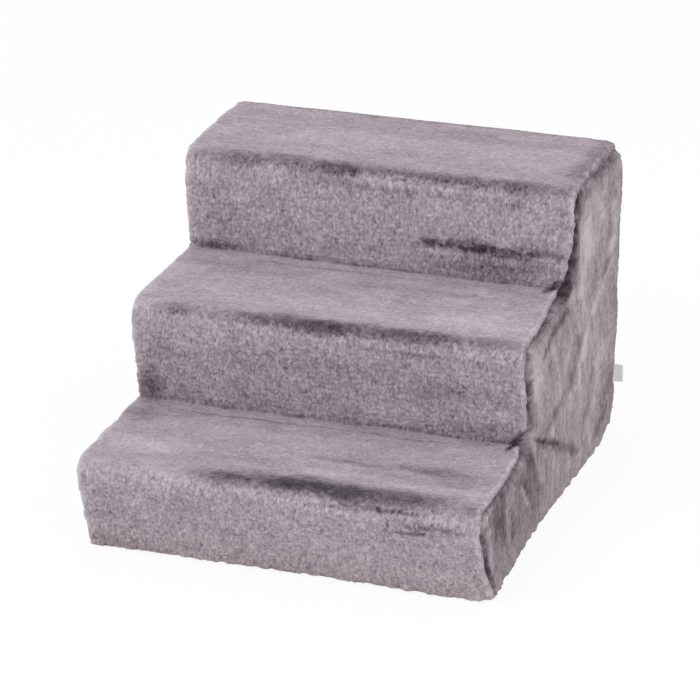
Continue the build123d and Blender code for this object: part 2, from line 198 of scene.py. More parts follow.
def steppedCorners(depth=0.0):
    # the noses and inner corners in turn, moved in by depth, with their own radii
    s, corners = stairs, []
    for level in range(3):
        top = (level + 1) * s["rise"] - depth
        corners.append((riserY(level, top) + depth, top, s["noseRadius"] - depth))
        if level < 2:
            corners.append((riserY(level + 1, top) + depth, top, s["creaseRadius"] + depth))
    return corners


def coverCorners():
    s = stairs
    rear, hem, under, front = s["rear"], s["hem"], s["turnedUnder"], riserY(0, s["hem"])
    first = [(front + under, hem, 0), (front, hem, s["hemRadius"])]
    last = [(rear, 3 * s["rise"], s["rearRadius"]), (rear, s["seamTop"], 0)]
    return [*first, *steppedCorners(), *last, (rear - under, s["seamTop"], 0)]


# Where the photograph shows the cover drawn in at its inner corners

drawnIn = {
    # at the corner (y, z): how far, and how quickly it fades forwards, upwards, and into the side
    "right": (
        {"corner": (-63, 103), "pull": 10.5, "forward": 34, "up": 22, "inside": 34},
        {"corner": (79, 206), "pull": 17.0, "forward": 120, "up": 30, "inside": 46},
    ),
    "left": (
        {"corner": (-63, 103), "pull": 0.6, "forward": 30, "up": 24, "inside": 34},
        {"corner": (79, 206), "pull": 3.0, "forward": 30, "up": 26, "inside": 40},
        {"corner": (-222, 84), "pull": 3.2, "forward": 30, "up": 16, "inside": 26},
    ),
}


seamSway = {"most": 3.0, "length": 19.0}  # how far the seams wander, and over what length


def pulledIn(y, z, side):
    p = seamSway
    seed = 521 if side > 0 else 541
    total = 0.5 * p["most"] * (1 + layeredMottle(y / p["length"], z / p["length"], seed, 2))
    for tug in drawnIn["right" if side > 0 else "left"]:
        dy, dz = y - tug["corner"][0], z - tug["corner"][1]
        ry = np.where(dy < 0, tug["forward"], tug["inside"])
        rz = np.where(dz > 0, tug["up"], tug["inside"])
        total = total + tug["pull"] * np.exp(-np.hypot(dy / ry, dz / rz) * 1.15)
    return total


def drawIn(points, x, y, z):
    # moves the points of the step panel in towards the middle, most of all at its seams
    for side in (-1, 1):
        points[..., 0] -= side * smooth(side * x, 60, 190) * pulledIn(y, z, side)


# The hem stands out a little at the front right corner

hemFlare = {
    "out": 4.5,  # forwards
    "aside": 2.6,
    "tall": 44,
    "from": 30,  # x where it starts, and where it is full
    "to": 130,
    "back": 70,  # how far back it fades
    "rounded": 10.0,  # how far the corner itself is turned back
}


def flaredOut(x, y, z):
    p = hemFlare
    behind = y - riserY(0, z)
    share = smooth(x, p["from"], p["to"]) * (1 - smooth(z, 0, p["tall"])) * (y < 0)
    share = share * (1 - smooth(behind, 8, p["back"]))
    turned = p["rounded"] * smooth(x, 176, 203) ** 2 * (1 - smooth(z, 0, 36))
    turned = turned * (1 - smooth(behind, 6, 50)) * (y < 0)
    return x + p["aside"] * share * smooth(x, 150, 195), y - p["out"] * share + turned


# Nap marks: places where the pile lies another way and looks darker or lighter, and some places where
# shade or light is painted into the colour
# Each is the middle x, y, z, half the size along x, y, z, the tone (darker below zero), and
# how ragged its edge is.
napAndPaintedShadingMarks = {
    "step": (
        # lowest step
        (80, -209, 103, 92, 18, 9, -1.1, 0.5), (0, -210, 103, 58, 17, 9, -0.75, 0.6),
        # the dark marks at (104, -225, 95) and (60, -226, 92), just under the first nose, are painted
        # shade hanging below it
        (-56, -215, 102, 40, 12, 7, -0.5, 0.6), (104, -225, 95, 46, 4, 2.6, -0.8, 1),
        (60, -226, 92, 34, 4, 2.2, -0.7, 1), (150, -222, 84, 36, 6, 5.5, -1.1, 1),
        (132, -219, 74, 20, 6, 4, -0.8, 1), (186, -214, 99, 14, 9, 9, -0.35, 0.8),
        (50, -150, 103, 46, 6, 9, -0.38, 0.6), (128, -146, 103, 42, 8, 9, -0.42, 0.6),
        (-60, -172, 103, 60, 6, 9, -0.2, 0.7), (-144, -166, 103, 44, 17, 9, 0.36, 0.5),
        (40, -176, 103, 50, 8, 9, 0.2, 0.6), (128, -184, 103, 56, 9, 9, 0.2, 0.6),
        (-178, -106, 103, 20, 20, 9, -0.42, 0.6), (-30, -118, 103, 90, 13, 9, 0.1, 0.6),
        (150, -98, 103, 50, 16, 9, 0.12, 0.5), (146, -150, 103, 50, 26, 9, -0.22, 0.5),
        (-168, -214, 92, 28, 10, 9, -0.26, 0.8), (-150, -208, 48, 36, 9, 20, -0.12, 0.8),
        (30, -205, 50, 60, 9, 16, 0.12, 0.8), (-176, -196, 10, 40, 12, 12, -0.22, 0.5),
        # painted shade: dark knots of pile in the drawn-in right corners, and smaller ones
        *((x, y, z, 4, 8, 4, -1, 0.3) for x, y, z in (
            (192, -65, 117), (189, -64, 113), (185, -64, 109), (182, -63, 105),
            (187, 79, 215), (183, 79, 212), (179, 79, 208),
        )),
        *((x, y, z, 3, 7, 3, -1, 0.3) for x, y, z in (
            (189, -64, 108), (185, -63, 104), (182, -70, 103), (180, -75, 103),
            (188, 79, 211), (176, 75, 206), (172, 71, 206),
        )),
        # middle step
        (-150, -75, 204, 26, 12, 8, -0.8, 0.6), (-96, -73, 203, 44, 10, 7, -0.5, 0.7),
        (-24, -70, 203, 58, 12, 9, -0.95, 0.6), (66, -69, 203, 72, 12, 9, -1, 0.6),
        (152, -64, 204, 44, 9, 9, -0.5, 0.7), (90, -76, 187, 64, 6, 4, -0.45, 1),
        (-184, -68, 118, 17, 9, 17, -0.95, 0.6), (-170, -72, 150, 20, 9, 30, -0.2, 0.8),
        (-30, -72, 160, 90, 9, 11, -0.2, 0.9), (120, -70, 150, 60, 9, 14, -0.18, 0.9),
        (60, -66, 124, 80, 9, 11, 0.12, 0.8), (150, -66, 116, 40, 9, 8, -0.3, 0.8),
        (-40, -28, 206, 130, 20, 9, 0.2, 0.5), (140, -20, 206, 50, 28, 9, 0.34, 0.4),
        (-120, 40, 206, 60, 14, 9, -0.18, 0.6), (30, 36, 206, 80, 10, 9, -0.16, 0.6),
        (110, 46, 206, 60, 8, 9, 0.2, 0.6), (-186, 20, 206, 14, 40, 9, 0.16, 0.6),
        # top step
        (-66, 79, 305, 66, 12, 9, -0.85, 0.6), (40, 81, 306, 80, 10, 8, -0.85, 0.6),
        (140, 82, 305, 56, 10, 9, -0.8, 0.6), (-150, 79, 303, 40, 10, 9, -0.6, 0.7),
        (30, 76, 290, 120, 6, 4, -0.3, 1), (88, 78, 241, 36, 9, 6, -0.9, 0.9),
        (60, 78, 238, 17, 9, 5, -0.7, 0.8), (128, 78, 237, 34, 9, 6, -1.1, 0.9),
        (164, 78, 241, 30, 9, 6, -0.85, 0.9), (150, 78, 228, 40, 9, 7, -0.3, 0.9),
        (108, 79, 218, 66, 9, 9, -0.5, 0.8), (-170, 78, 250, 26, 9, 34, -0.18, 0.7),
        (-168, 80, 210, 34, 9, 5, -0.7, 0.7), (-60, 150, 309, 120, 24, 9, 0.1, 0.5),
        (130, 150, 309, 60, 28, 9, 0.16, 0.5), (40, 190, 309, 150, 12, 9, -0.16, 0.6),
        (0, 222, 306, 210, 7, 9, -0.34, 0.5), (192, 150, 309, 13, 84, 12, -0.5, 0.9),
        (176, 128, 309, 16, 12, 9, -0.25, 0.9),
    ),
    "right": (
        # the broad dark marks low at the front are painted shade and the pale ones high at the rear are
        # painted light, so the side is darker low at the front and lighter high at the rear
        (200, -150, 60, 9, 74, 60, -0.6, 0.4), (200, -50, 56, 9, 60, 50, -0.42, 0.4),
        (200, -168, 74, 9, 28, 26, -0.4, 0.5), (200, -66, 80, 9, 60, 26, -0.32, 0.5),
        (200, 20, 196, 9, 50, 10, -0.3, 0.6), (200, 150, 250, 9, 34, 50, 0.2, 0.5),
        (200, 110, 236, 9, 18, 46, 0.26, 0.5), (200, 206, 60, 9, 20, 40, -0.3, 0.5),
        (200, 60, 180, 9, 40, 22, -0.2, 0.5), (200, -46, 150, 9, 22, 44, 0.22, 0.6),
        (200, 150, 296, 9, 66, 8, -0.45, 0.7), (200, 100, 294, 9, 18, 14, -0.3, 0.7),
    ),
    "left": (
        (-200, -60, 60, 9, 60, 24, -0.3, 0.5), (-200, 120, 220, 9, 30, 50, 0.3, 0.5),
        (-200, 30, 140, 9, 12, 40, -0.4, 0.5), (-200, 180, 90, 9, 12, 50, -0.35, 0.5),
        (-200, 150, 150, 9, 8, 50, 0.3, 0.5), (-200, -150, 70, 9, 20, 20, 0.25, 0.5),
        (-200, 96, 268, 9, 8, 30, -0.4, 0.5),
    ),
    "back": (
        (-90, 225, 210, 40, 9, 50, 0.3, 0.5), (70, 225, 120, 50, 9, 40, -0.3, 0.5),
        (120, 225, 240, 22, 9, 40, -0.3, 0.5), (-40, 225, 60, 80, 9, 20, 0.2, 0.5),
        (-150, 225, 90, 16, 9, 60, -0.34, 0.5), (10, 225, 230, 14, 9, 60, -0.24, 0.5),
    ),
}

# Lines in the nap of the right side: the width as seen from the front quarter, the tone, and
# the (y, z) places
sideStrokes = (
    (3.5, -0.71, (91, 300), (84, 292), (92, 280), (76, 272), (83, 262), (88, 252), (81, 242), (72, 236),
        (76, 222)),
    (6.8, -0.83, (78, 232), (84, 208)),
    (4.2, -0.85, (73, 200), (60, 190), (35, 188), (9, 187), (-16, 178)),
    (4.1, -0.5, (30, 200), (-23, 199), (-46, 196)),
    (3.8, -0.68, (-72, 193), (-76, 186), (-68, 167), (-66, 150), (-54, 137), (-50, 116)),
    (1.9, -0.52, (-1, 162), (0, 153)),
    (5.4, -0.56, (98, 149), (88, 135), (73, 121), (57, 111), (34, 107), (12, 102), (-4, 98)),
    (3.2, 0.42, (121, 146), (108, 129), (99, 114), (87, 102)),
    (3.6, 0.42, (204, 216), (200, 196), (171, 176), (133, 156), (96, 124)),
    (4.6, 0.45, (111, 263), (123, 226), (108, 196)),
    (3, 0.5, (196, 256), (204, 226), (194, 205)),
    (3.5, -0.45, (197, 203), (173, 187)),
    (3, -0.41, (222, 280), (223, 180), (224, 120)),
    (3.2, -0.68, (-20, 90), (-2, 83), (26, 66), (65, 47), (92, 32)),
    (5.7, -0.49, (190, 60), (186, 34), (157, 22)),
    (3.5, 0.68, (3, 97), (2, 88)),
    (3.5, -0.52, (-106, 96), (-125, 95), (-158, 92), (-190, 88)),
    (3, -0.6, (-207, 83), (-202, 63), (-207, 49), (-198, 32), (-190, 14)),
    (2.7, 0.45, (-196, 76), (-190, 56), (-186, 30)),
    (2.4, 0.6, (-93, 74), (-74, 50)),
    (2.4, -0.52, (-84, 76), (-64, 50)),
    (3, -0.52, (-157, 74), (-148, 42)),
    (2.7, 0.41, (-142, 72), (-133, 40)),
    (3, -0.45, (-127, 66), (-119, 36)),
    (4.6, -0.68, (-63, 98), (-54, 86)),
    (2.4, 0.52, (-46, 94), (-24, 52)),
    (2.4, -0.45, (-52, 84), (-34, 46)),
    (4.1, -0.52, (140, 301), (168, 300), (197, 300)),
    (3.2, -0.3, (160, 240), (150, 196), (134, 176)),
    (3, 0.34, (60, 150), (40, 124), (20, 116)),
    (3.5, 0.3, (170, 110), (150, 70), (120, 40)),
    (3, -0.34, (140, 96), (116, 60)),
)

squashed = 0.36  # how much shorter the side looks along y from the front quarter


def strokeTone(y, z, seed):
    tone = np.zeros(y.shape)
    waver = 2.3 * layeredMottle(y / 13, z / 6, seed, 4)
    for width, dark, *line in sideStrokes:
        distance, _ = outlineDistance(y * squashed, z, np.array(line, float) * (squashed, 1))
        tone += dark * hill(np.maximum(distance + waver, 0), width)
    return tone


def napAndPaintedShadingTone(points, where, u, v):
    tone = np.zeros(points.shape[:2])
    fine = layeredMottle(u / 5.0, v / 4.0, 411)
    broad = layeredMottle(u / 34.0, v / 16.0, 433)
    for *row, dark, ragged in napAndPaintedShadingMarks[where]:
        q = np.sqrt(sum(((points[..., k] - row[k]) / row[k + 3]) ** 2 for k in range(3)))
        q = q + ragged * (0.45 * fine + 0.4 * broad)
        tone += 1.05 * dark * (1 - smooth(q, 0.1, 1.5))
    return tone


# The pile: how high each point of the plush stands over the backing, and how deep it lies between tufts,
# which darkens it, partly as the pile's own darker roots and partly as painted shade

plush = {
    "grid": 1.15,  # mm between mesh points
    # size of the tufts in mm, how much of its place a tuft fills, and how wide the clefts are
    "curl": {"width": 2.9, "length": 5.6, "height": 1.3, "crown": 0.85, "cleft": 0.36},
    "brushed": {"width": 4.4, "length": 2.8, "height": 0.42, "crown": 0.9, "cleft": 0.4},
    "stroked": {"width": 3.4, "length": 10.0, "height": 0.95, "crown": 0.88, "cleft": 0.45},
    "pits": 15.0,  # how far apart the pile parts in small pits, which are darkened with painted shade
    "lumps": 0.9,
}


def curledPile(u, v, seed):
    # short upright tufts of a riser, u across and v up
    p = plush["curl"]
    wu = u + 1.3 * mottle(u / 5, v / 7, seed + 3) + 0.6 * mottle(u / 2.1, v / 3.4, seed + 4)
    wv = v + 1.8 * mottle(u / 4.5, v / 8, seed + 5)
    tuft, _, luck, along = tuftShape(wu, wv, seed, p)
    strand = 1 - np.abs(mottle(wu / 1.35, wv / 4.6, seed + 20)) * 2
    curl = layeredMottle(wu / 2.3, wv / 3.0, seed + 23, 2)
    apart = plush["pits"]
    _, _, pitLuck, pitAcross, pitAlong = tufts(wu / apart, wv / apart, seed + 40)
    pits = hill(pitAcross * apart, 1.2) * hill(pitAlong * apart, 1.9) * smooth(pitLuck, 0.62, 1.0)
    height = 0.5 * tuft + 0.22 * strand + 0.25 * curl + 0.3 * luck - 0.2 * along - 0.9 * pits
    height = p["height"] * height
    depth = 0.41 + 0.32 * tuft + 0.18 * strand + 0.26 * curl + 0.22 * luck
    return height, np.clip(depth, 0, 1), pits


def brushedPile(u, v, seed):
    # pile laid flat along a tread, u across and v back
    p = plush["brushed"]
    wv = v + 1.3 * mottle(u / 22, v / 9, seed + 5)
    tuft, cleft, luck, _ = tuftShape(u, wv, seed, p)
    streak = layeredMottle(u / 8, wv / 3.2, seed + 7)
    speck = layeredMottle(u / 2.1, v / 1.9, seed + 9, 2)
    cloud = layeredMottle(u / 9, v / 6, seed + 11, 2)
    height = p["height"] * (0.4 * tuft + 0.25 * streak + 0.6 * speck + 0.3 * cloud)
    depth = 0.5 + 0.1 * cleft + 0.06 * streak + 0.24 * speck + 0.14 * cloud + 0.1 * luck
    return height, np.clip(depth, 0, 1)


def strokedPile(u, v, seed):
    # longer pile of the sides, u back and v up, stroked in slanting locks
    p = plush["stroked"]
    sway = 9 * layeredMottle(u / 55, v / 70, seed + 1, 2)
    wu = u + sway + 0.16 * v + 1.0 * mottle(u / 4, v / 9, seed + 3)
    wv = v + 2.5 * mottle(u / 6, v / 14, seed + 5)
    tuft, cleft, luck, along = tuftShape(wu, wv, seed, p)
    lock = layeredMottle((wu + 0.12 * v) / 10.5, wv / 26, seed + 7)
    curl = layeredMottle(wu / 3.0, wv / 4.4, seed + 9, 2)
    height = p["height"] * (0.4 * tuft + 0.6 * lock + 0.45 * curl - 0.15 * along)
    depth = 0.416 + 0.14 * cleft + 0.38 * lock + 0.28 * curl + 0.12 * luck
    return height, np.clip(depth, 0, 1)


def raggedHem(u, wide, fine, seed):
    return 1.2 * ripple(u / wide, seed) + 0.8 * ripple(u / fine, seed + 2)


def standing(points, outward, height, u, v, seed, gap=0.5):
    # the pile stands out from the cloth, but not into the floor
    points = points + outward * height[..., None]
    points[..., 2] = np.maximum(points[..., 2], gap + (1 - gap) * mottle(u / 2.6, v / 2, seed))
    return points


def facing(points):
    # outward direction at each point of a grid laid across, then up
    across = np.gradient(points, axis=1)
    along = np.gradient(points, axis=0)
    n = np.cross(across, along)
    return n / np.maximum(np.linalg.norm(n, axis=2, keepdims=True), 1e-9)


def gridQuads(rows, columns):
    index = np.arange(rows * columns).reshape(rows, columns)
    return index, np.stack([index[:-1, :-1], index[:-1, 1:], index[1:, 1:], index[1:, :-1]], axis=-1)


def linked(name, data):
    thing = bpy.data.objects.new(name, data)
    bpy.context.scene.collection.objects.link(thing)
    return thing


def makePiece(name, places, faces, finish, flat=False):
    mesh = bpy.data.meshes.new(name)
    mesh.from_pydata((places * mm).tolist(), [], faces, shade_flat=flat)
    mesh.materials.append(finishes[finish])
    return linked(name, mesh)


def makeGrid(name, points, finish, values, inside=None, flip=False):
    # a mesh over a grid of points; inside says which cells are there
    rows, columns = points.shape[:2]
    _, quads = gridQuads(rows, columns)
    quads = quads[inside] if inside is not None else quads.reshape(-1, 4)
    if flip:
        quads = quads[:, ::-1]
    used, quads = np.unique(quads, return_inverse=True)
    quads = quads.reshape(-1, 4)
    piece = makePiece(name, points.reshape(-1, 3)[used], quads.tolist(), finish)
    # the plush is laid out flat, as it was cut, for whoever wants to paint it
    down, over = np.divmod(used, columns)
    place = np.column_stack([0.01 + 0.98 * over / (columns - 1), 0.01 + 0.98 * down / (rows - 1)])
    if flip:
        place[:, 0] = 1 - place[:, 0]
    layout = piece.data.uv_layers.new(name="OFBake")
    layout.data.foreach_set("uv", place[quads.ravel()].astype(np.float32).ravel())
    for label, grid in values.items():
        field = piece.data.attributes.new(label, "FLOAT", "POINT")
        field.data.foreach_set("value", grid.reshape(-1)[used].astype(np.float32))
    piece.data.validate()
    return piece


# Materials


def wire(tree, node, inputs):
    # sets the inputs of a node, or links them where a socket is given
    for key, value in inputs.items():
        if isinstance(value, bpy.types.NodeSocket):
            tree.links.new(value, node.inputs[key])
        else:
            node.inputs[key].default_value = value
    return node.outputs


def addNode(tree, kind, inputs, **settings):
    node = tree.nodes.new(kind)
    for key, value in settings.items():
        setattr(node, key, value)
    return wire(tree, node, inputs)


def startMaterial(name):
    material = bpy.data.materials.new(name)
    material.use_nodes = True
    tree = material.node_tree
    place = addNode(tree, "ShaderNodeTexCoord", {})["Object"]
    return material, tree, tree.nodes["Principled BSDF"], place


def addStretch(tree, source, stretch):
    return addNode(tree, "ShaderNodeMapping", {"Scale": stretch, "Vector": source})["Vector"]


def addNoise(tree, source, scale, detail=3.0, roughness=0.6, stretch=(1, 1, 1), swirl=0.0):
    inputs = {"Scale": scale, "Detail": detail, "Roughness": roughness, "Distortion": swirl}
    inputs["Vector"] = addStretch(tree, source, stretch)
    return addNode(tree, "ShaderNodeTexNoise", inputs)["Fac"]


def addCells(tree, source, scale, stretch=(1, 1, 1)):
    inputs = {"Scale": scale, "Vector": addStretch(tree, source, stretch)}
    return addNode(tree, "ShaderNodeTexVoronoi", inputs)["Distance"]


def addTwill(tree, source, scale, swirl):
    inputs = {"Scale": scale, "Distortion": swirl, "Vector": source}
    return addNode(tree, "ShaderNodeTexWave", inputs, bands_direction="DIAGONAL")["Fac"]


def addEdges(tree, _):
    return addNode(tree, "ShaderNodeNewGeometry", {})["Pointiness"]


def addRamp(tree, source, stops):
    ramp = tree.nodes.new("ShaderNodeValToRGB")
    bar = ramp.color_ramp.elements
    bar[0].position, bar[1].position = stops[0][0], stops[-1][0]
    bar[0].color, bar[1].color = (*linear(stops[0][1]), 1), (*linear(stops[-1][1]), 1)
    for place, colour in stops[1:-1]:
        bar.new(place).color = (*linear(colour), 1)
    return wire(tree, ramp, {"Fac": source})["Color"]


def addSum(tree, terms, offset):
    # offset + the sum of factor * socket
    total = offset
    for factor, socket in terms:
        inputs = {0: socket, 1: factor, 2: total}
        total = addNode(tree, "ShaderNodeMath", inputs, operation="MULTIPLY_ADD")["Value"]
    return total


def addBump(tree, height, distance, strength):
    inputs = {"Distance": distance, "Strength": strength, "Height": height}
    return addNode(tree, "ShaderNodeBump", inputs)["Normal"]


plushLook = {
    "stops": (  # from the deepest pile to the tips; the dark deep stops are partly the pile's own darker roots and partly painted shade between tufts
        (0.0, (50, 43, 49)),
        (0.2, (82, 72, 80)),
        (0.42, (120, 109, 117)),
        (0.645, (153, 142, 150)),
        (0.94, (190, 179, 187)),
    ),
    "upright": 330,  # scales of the fine fibres and of the blotches
    "lying": 350,
    "blotch": 42,
    "fibre": 0.74,  # share of the fibres in the tone
    "bump": (0.0007, 0.36),
    "roughness": 0.9,
    "specular": 0.18,
    "warm": (1.0, 0.995, 0.93),  # tint of the pile near the floor, and of all on the sides
    "warmUpTo": 0.04,  # in metres
    "sheen": 0.25,
    "sheenRoughness": 0.42,
    "sheenTint": (214, 204, 212),
}


def plushMaterial(name, warmth=0.0, grain=(1.0, 1.0, 0.46), contrast=1.0):
    p = plushLook
    material, tree, shader, place = startMaterial(name)
    pile, napAndPaintedShading, lay = (
        addNode(tree, "ShaderNodeAttribute", {}, attribute_name=n)["Fac"] for n in ("pile", "napAndPaintedShading", "lay")
    )
    upright = addNoise(tree, place, p["upright"], 2.0, 0.5, grain, 0.8)
    lying = addNoise(tree, place, p["lying"], 2.0, 0.5, (0.8, 1.0, 1.0), 0.7)
    lying = addSum(tree, ((0.72, lying),), 0.14)
    blotch = addNoise(tree, place, p["blotch"], stretch=(0.6, 1.0, 1.0))
    fibre = addNode(tree, "ShaderNodeMix", {0: lay, 2: upright, 3: lying})[0]
    share = p["fibre"] * contrast
    # through the nap attribute the tone takes in painted shade and painted highlights, and through the
    # pile attribute it takes darker clefts between tufts, partly painted shade
    tone = addSum(tree, ((0.36, pile), (0.4, napAndPaintedShading), (share, fibre), (0.12, blotch)), 0.4 - 0.5 * share)
    height = addNode(tree, "ShaderNodeSeparateXYZ", {0: place})["Z"]
    low = {"Value": height, "From Min": 0.004, "From Max": p["warmUpTo"], "To Min": 0.9, "To Max": warmth}
    tint = {
        0: addNode(tree, "ShaderNodeMapRange", low)["Result"],
        6: addRamp(tree, tone, p["stops"]),
        7: (*p["warm"], 1),
    }
    colour = addNode(tree, "ShaderNodeMix", tint, data_type="RGBA", blend_type="MULTIPLY")[2]
    looks = {
        "Base Color": colour,
        "Roughness": addSum(tree, ((-0.14, pile), (0.12, fibre)), p["roughness"]),
        "Specular IOR Level": p["specular"],
        "Sheen Weight": p["sheen"],
        "Sheen Roughness": p["sheenRoughness"],
        "Sheen Tint": (*linear(p["sheenTint"]), 1),
        "Normal": addBump(tree, fibre, *p["bump"]),
    }
    wire(tree, shader, looks)
    return material


# The plainer finishes. Textures have a kind, a scale and what else their function takes.
# Tone and roughness are sums of textures, after a first number; bump has distance and strength.

plainLooks = {
    "backing": {  # the knitted ground that the pile is tufted into, seen from inside
        "name": "knittedBacking",
        "textures": {
            "stitch": ("cells", 460, (1.0, 1.0, 0.7)),
            "rows": ("noise", 300, 1.0, 0.5, (1.0, 0.12, 1.0)),
            "wear": ("noise", 28),
        },
        "tone": (0.42, ("stitch", -0.55), ("rows", 0.35), ("wear", 0.4)),
        "stops": ((0.1, (104, 95, 102)), (0.5, (138, 128, 135)), (0.9, (166, 157, 163))),
        "roughness": (0.82, ("stitch", 0.15)),
        "specular": 0.2,
        "bump": ("stitch", -0.0006, 0.8),
    },
    "frame": {  # moulded, with a fine spark texture, and lighter on its high edges
        "name": "mouldedFrame",
        "textures": {
            "grain": ("noise", 1500, 2.0, 0.6),
            "flow": ("noise", 14, 4.0, 0.6, (1.0, 1.0, 0.35)),
            "scuff": ("noise", 120, 5.0, 0.7, (0.2, 1.0, 1.0)),
            "edge": ("edges",),
        },
        "tone": (-0.28, ("flow", 0.22), ("scuff", 0.16), ("edge", 1.1), ("grain", 0.06)),
        "stops": ((0.2, (168, 168, 171)), (0.5, (186, 186, 188)), (0.85, (208, 208, 209))),
        "roughness": (0.36, ("grain", 0.16), ("scuff", 0.2)),
        "bump": ("grain", 0.00025, 0.5),
    },
    "clips": {
        "name": "clipNylon",
        "textures": {"grain": ("noise", 2200, 2.0, 0.6), "cloud": ("noise", 160)},
        "tone": "cloud",
        "stops": ((0.3, (72, 73, 77)), (0.7, (92, 93, 97))),
        "roughness": (0.3, ("grain", 0.25), ("cloud", 0.1)),
        "bump": ("grain", 0.0001, 0.5),
    },
    "feet": {
        "name": "footRubber",
        "textures": {"grain": ("noise", 1800, 3.0, 0.65), "dust": ("noise", 240, 4.0, 0.7)},
        "tone": "dust",
        "stops": ((0.35, (38, 37, 38)), (0.72, (62, 61, 61))),
        "roughness": (0.6, ("grain", 0.2), ("dust", 0.15)),
        "specular": 0.35,
        "bump": ("grain", 0.0002, 0.6),
    },
    "hooks": {  # close rows of little plastic hooks on a woven ground
        "name": "hookTapeWeave",
        "textures": {"hooks": ("cells", 620), "ground": ("noise", 900, 2.0, 0.5)},
        "tone": (0.75, ("hooks", -0.9), ("ground", 0.3)),
        "stops": ((0.2, (96, 92, 98)), (0.8, (150, 145, 151))),
        "roughness": (0.42, ("hooks", 0.4)),
        "bump": ("hooks", -0.0012, 1.0),
    },
    "loops": {  # brushed loops
        "name": "loopTapePile",
        "textures": {"loops": ("noise", 760, 4.0, 0.75), "cloud": ("noise", 70)},
        "tone": (-0.02, ("loops", 0.7), ("cloud", 0.35)),
        "stops": ((0.25, (112, 105, 112)), (0.8, (168, 160, 167))),
        "roughness": (0.85, ("loops", 0.1)),
        "specular": 0.15,
        "sheen": 0.3,
        "bump": ("loops", 0.001, 0.9),
    },
    "seams": {  # twill binding with fine slanting ribs
        "name": "seamTapeTwill",
        "textures": {"twill": ("twill", 170, 1.2), "cloud": ("noise", 90)},
        "tone": (0.05, ("twill", 0.5), ("cloud", 0.4)),
        "stops": ((0.2, (96, 86, 94)), (0.8, (140, 129, 137))),
        "roughness": (0.75, ("cloud", 0.15)),
        "specular": 0.2,
        "bump": ("twill", 0.0004, 0.8),
    },
    "label": {  # blank satin-woven care label
        "name": "labelSatin",
        "textures": {
            "weave": ("noise", 2600, 1.0, 0.5, (1.0, 1.0, 0.12)),
            "cloud": ("noise", 200),
        },
        "tone": (0.05, ("weave", 0.5), ("cloud", 0.4)),
        "stops": ((0.25, (240, 238, 236)), (0.75, (252, 251, 250))),
        "roughness": (0.45, ("weave", 0.2)),
        "sheen": 0.1,
        "bump": ("weave", 0.0002, 0.7),
    },
}


def plainMaterial(name, textures, tone, stops, roughness, bump, specular=None, sheen=None):
    material, tree, shader, place = startMaterial(name)
    kinds = {"noise": addNoise, "cells": addCells, "twill": addTwill, "edges": addEdges}
    field = {key: kinds[kind](tree, place, *rest) for key, (kind, *rest) in textures.items()}

    def summed(offset, *terms):
        return addSum(tree, [(factor, field[key]) for key, factor in terms], offset)

    looks = {
        "Base Color": addRamp(tree, field[tone] if tone in field else summed(*tone), stops),
        "Roughness": summed(*roughness),
        "Specular IOR Level": specular,
        "Sheen Weight": sheen,
        "Normal": addBump(tree, field[bump[0]], *bump[1:]),
    }
    wire(tree, shader, {key: value for key, value in looks.items() if value is not None})
    return material


finishes = {
    "plush": plushMaterial("plushPile"),
    "sidePlush": plushMaterial("plushPileSides", warmth=0.6, grain=(0.7, 0.6, 0.6), contrast=0.72),
    **{key: plainMaterial(**look) for key, look in plainLooks.items()},
}
print("pet stairs: finishes made")


# The step panel: one strip of plush from the front hem over the three steps to the back seam

stepPanel = {
    "halfWidth": 199.4,
    "edgeRoll": 3.4,
    "topRoll": 6.4,  # the roll over the edge of the top step
    "rearRoll": 3.0,  # what the roll gains towards the back
    "turnIn": 5.0,
    "rollAngle": 140,  # how far the edge turns under, in degrees
    "turnedUnder": 7.4,
    "ridge": 1.0,  # how far the seam stands up
    "ridgeHighlightAndShade": 0.45,  # strength of the painted highlight on the ridge, and of the painted shade on the pile turned in behind it
    "locks": 1.5,  # how ragged the pile is along the seams
    "noseWear": 0.9,
    "creaseDepth": 1.8,
    "foldDepth": 0.8,
    "foldAhead": 16.5,  # how far in front of a crease a fainter fold lies
    "foldSpans": ((-160, 150), (-125, 70)),  # from where to where across they run
    "seed": 7,
}


def rolledOver(c, edge, roll, most=math.pi / 2):
    # where a place at c along a cloth comes to lie when the cloth rolls over its edge, and how
    # far it drops below the face
    straight = edge - roll
    turn = np.clip((c - straight) / roll, 0, most)
    beyond = np.clip(c - straight - roll * most, 0, None)
    place = np.minimum(c, straight) + roll * np.sin(turn) + beyond * math.cos(most)
    return place, roll * (1 - np.cos(turn)) + beyond * math.sin(most)


def rolledBoth(c, half, roll, most=math.pi / 2):
    # the same for a cloth that rolls over on both sides of its middle
    place, drop = rolledOver(np.abs(c), half, roll, most)
    return np.sign(c) * place, drop


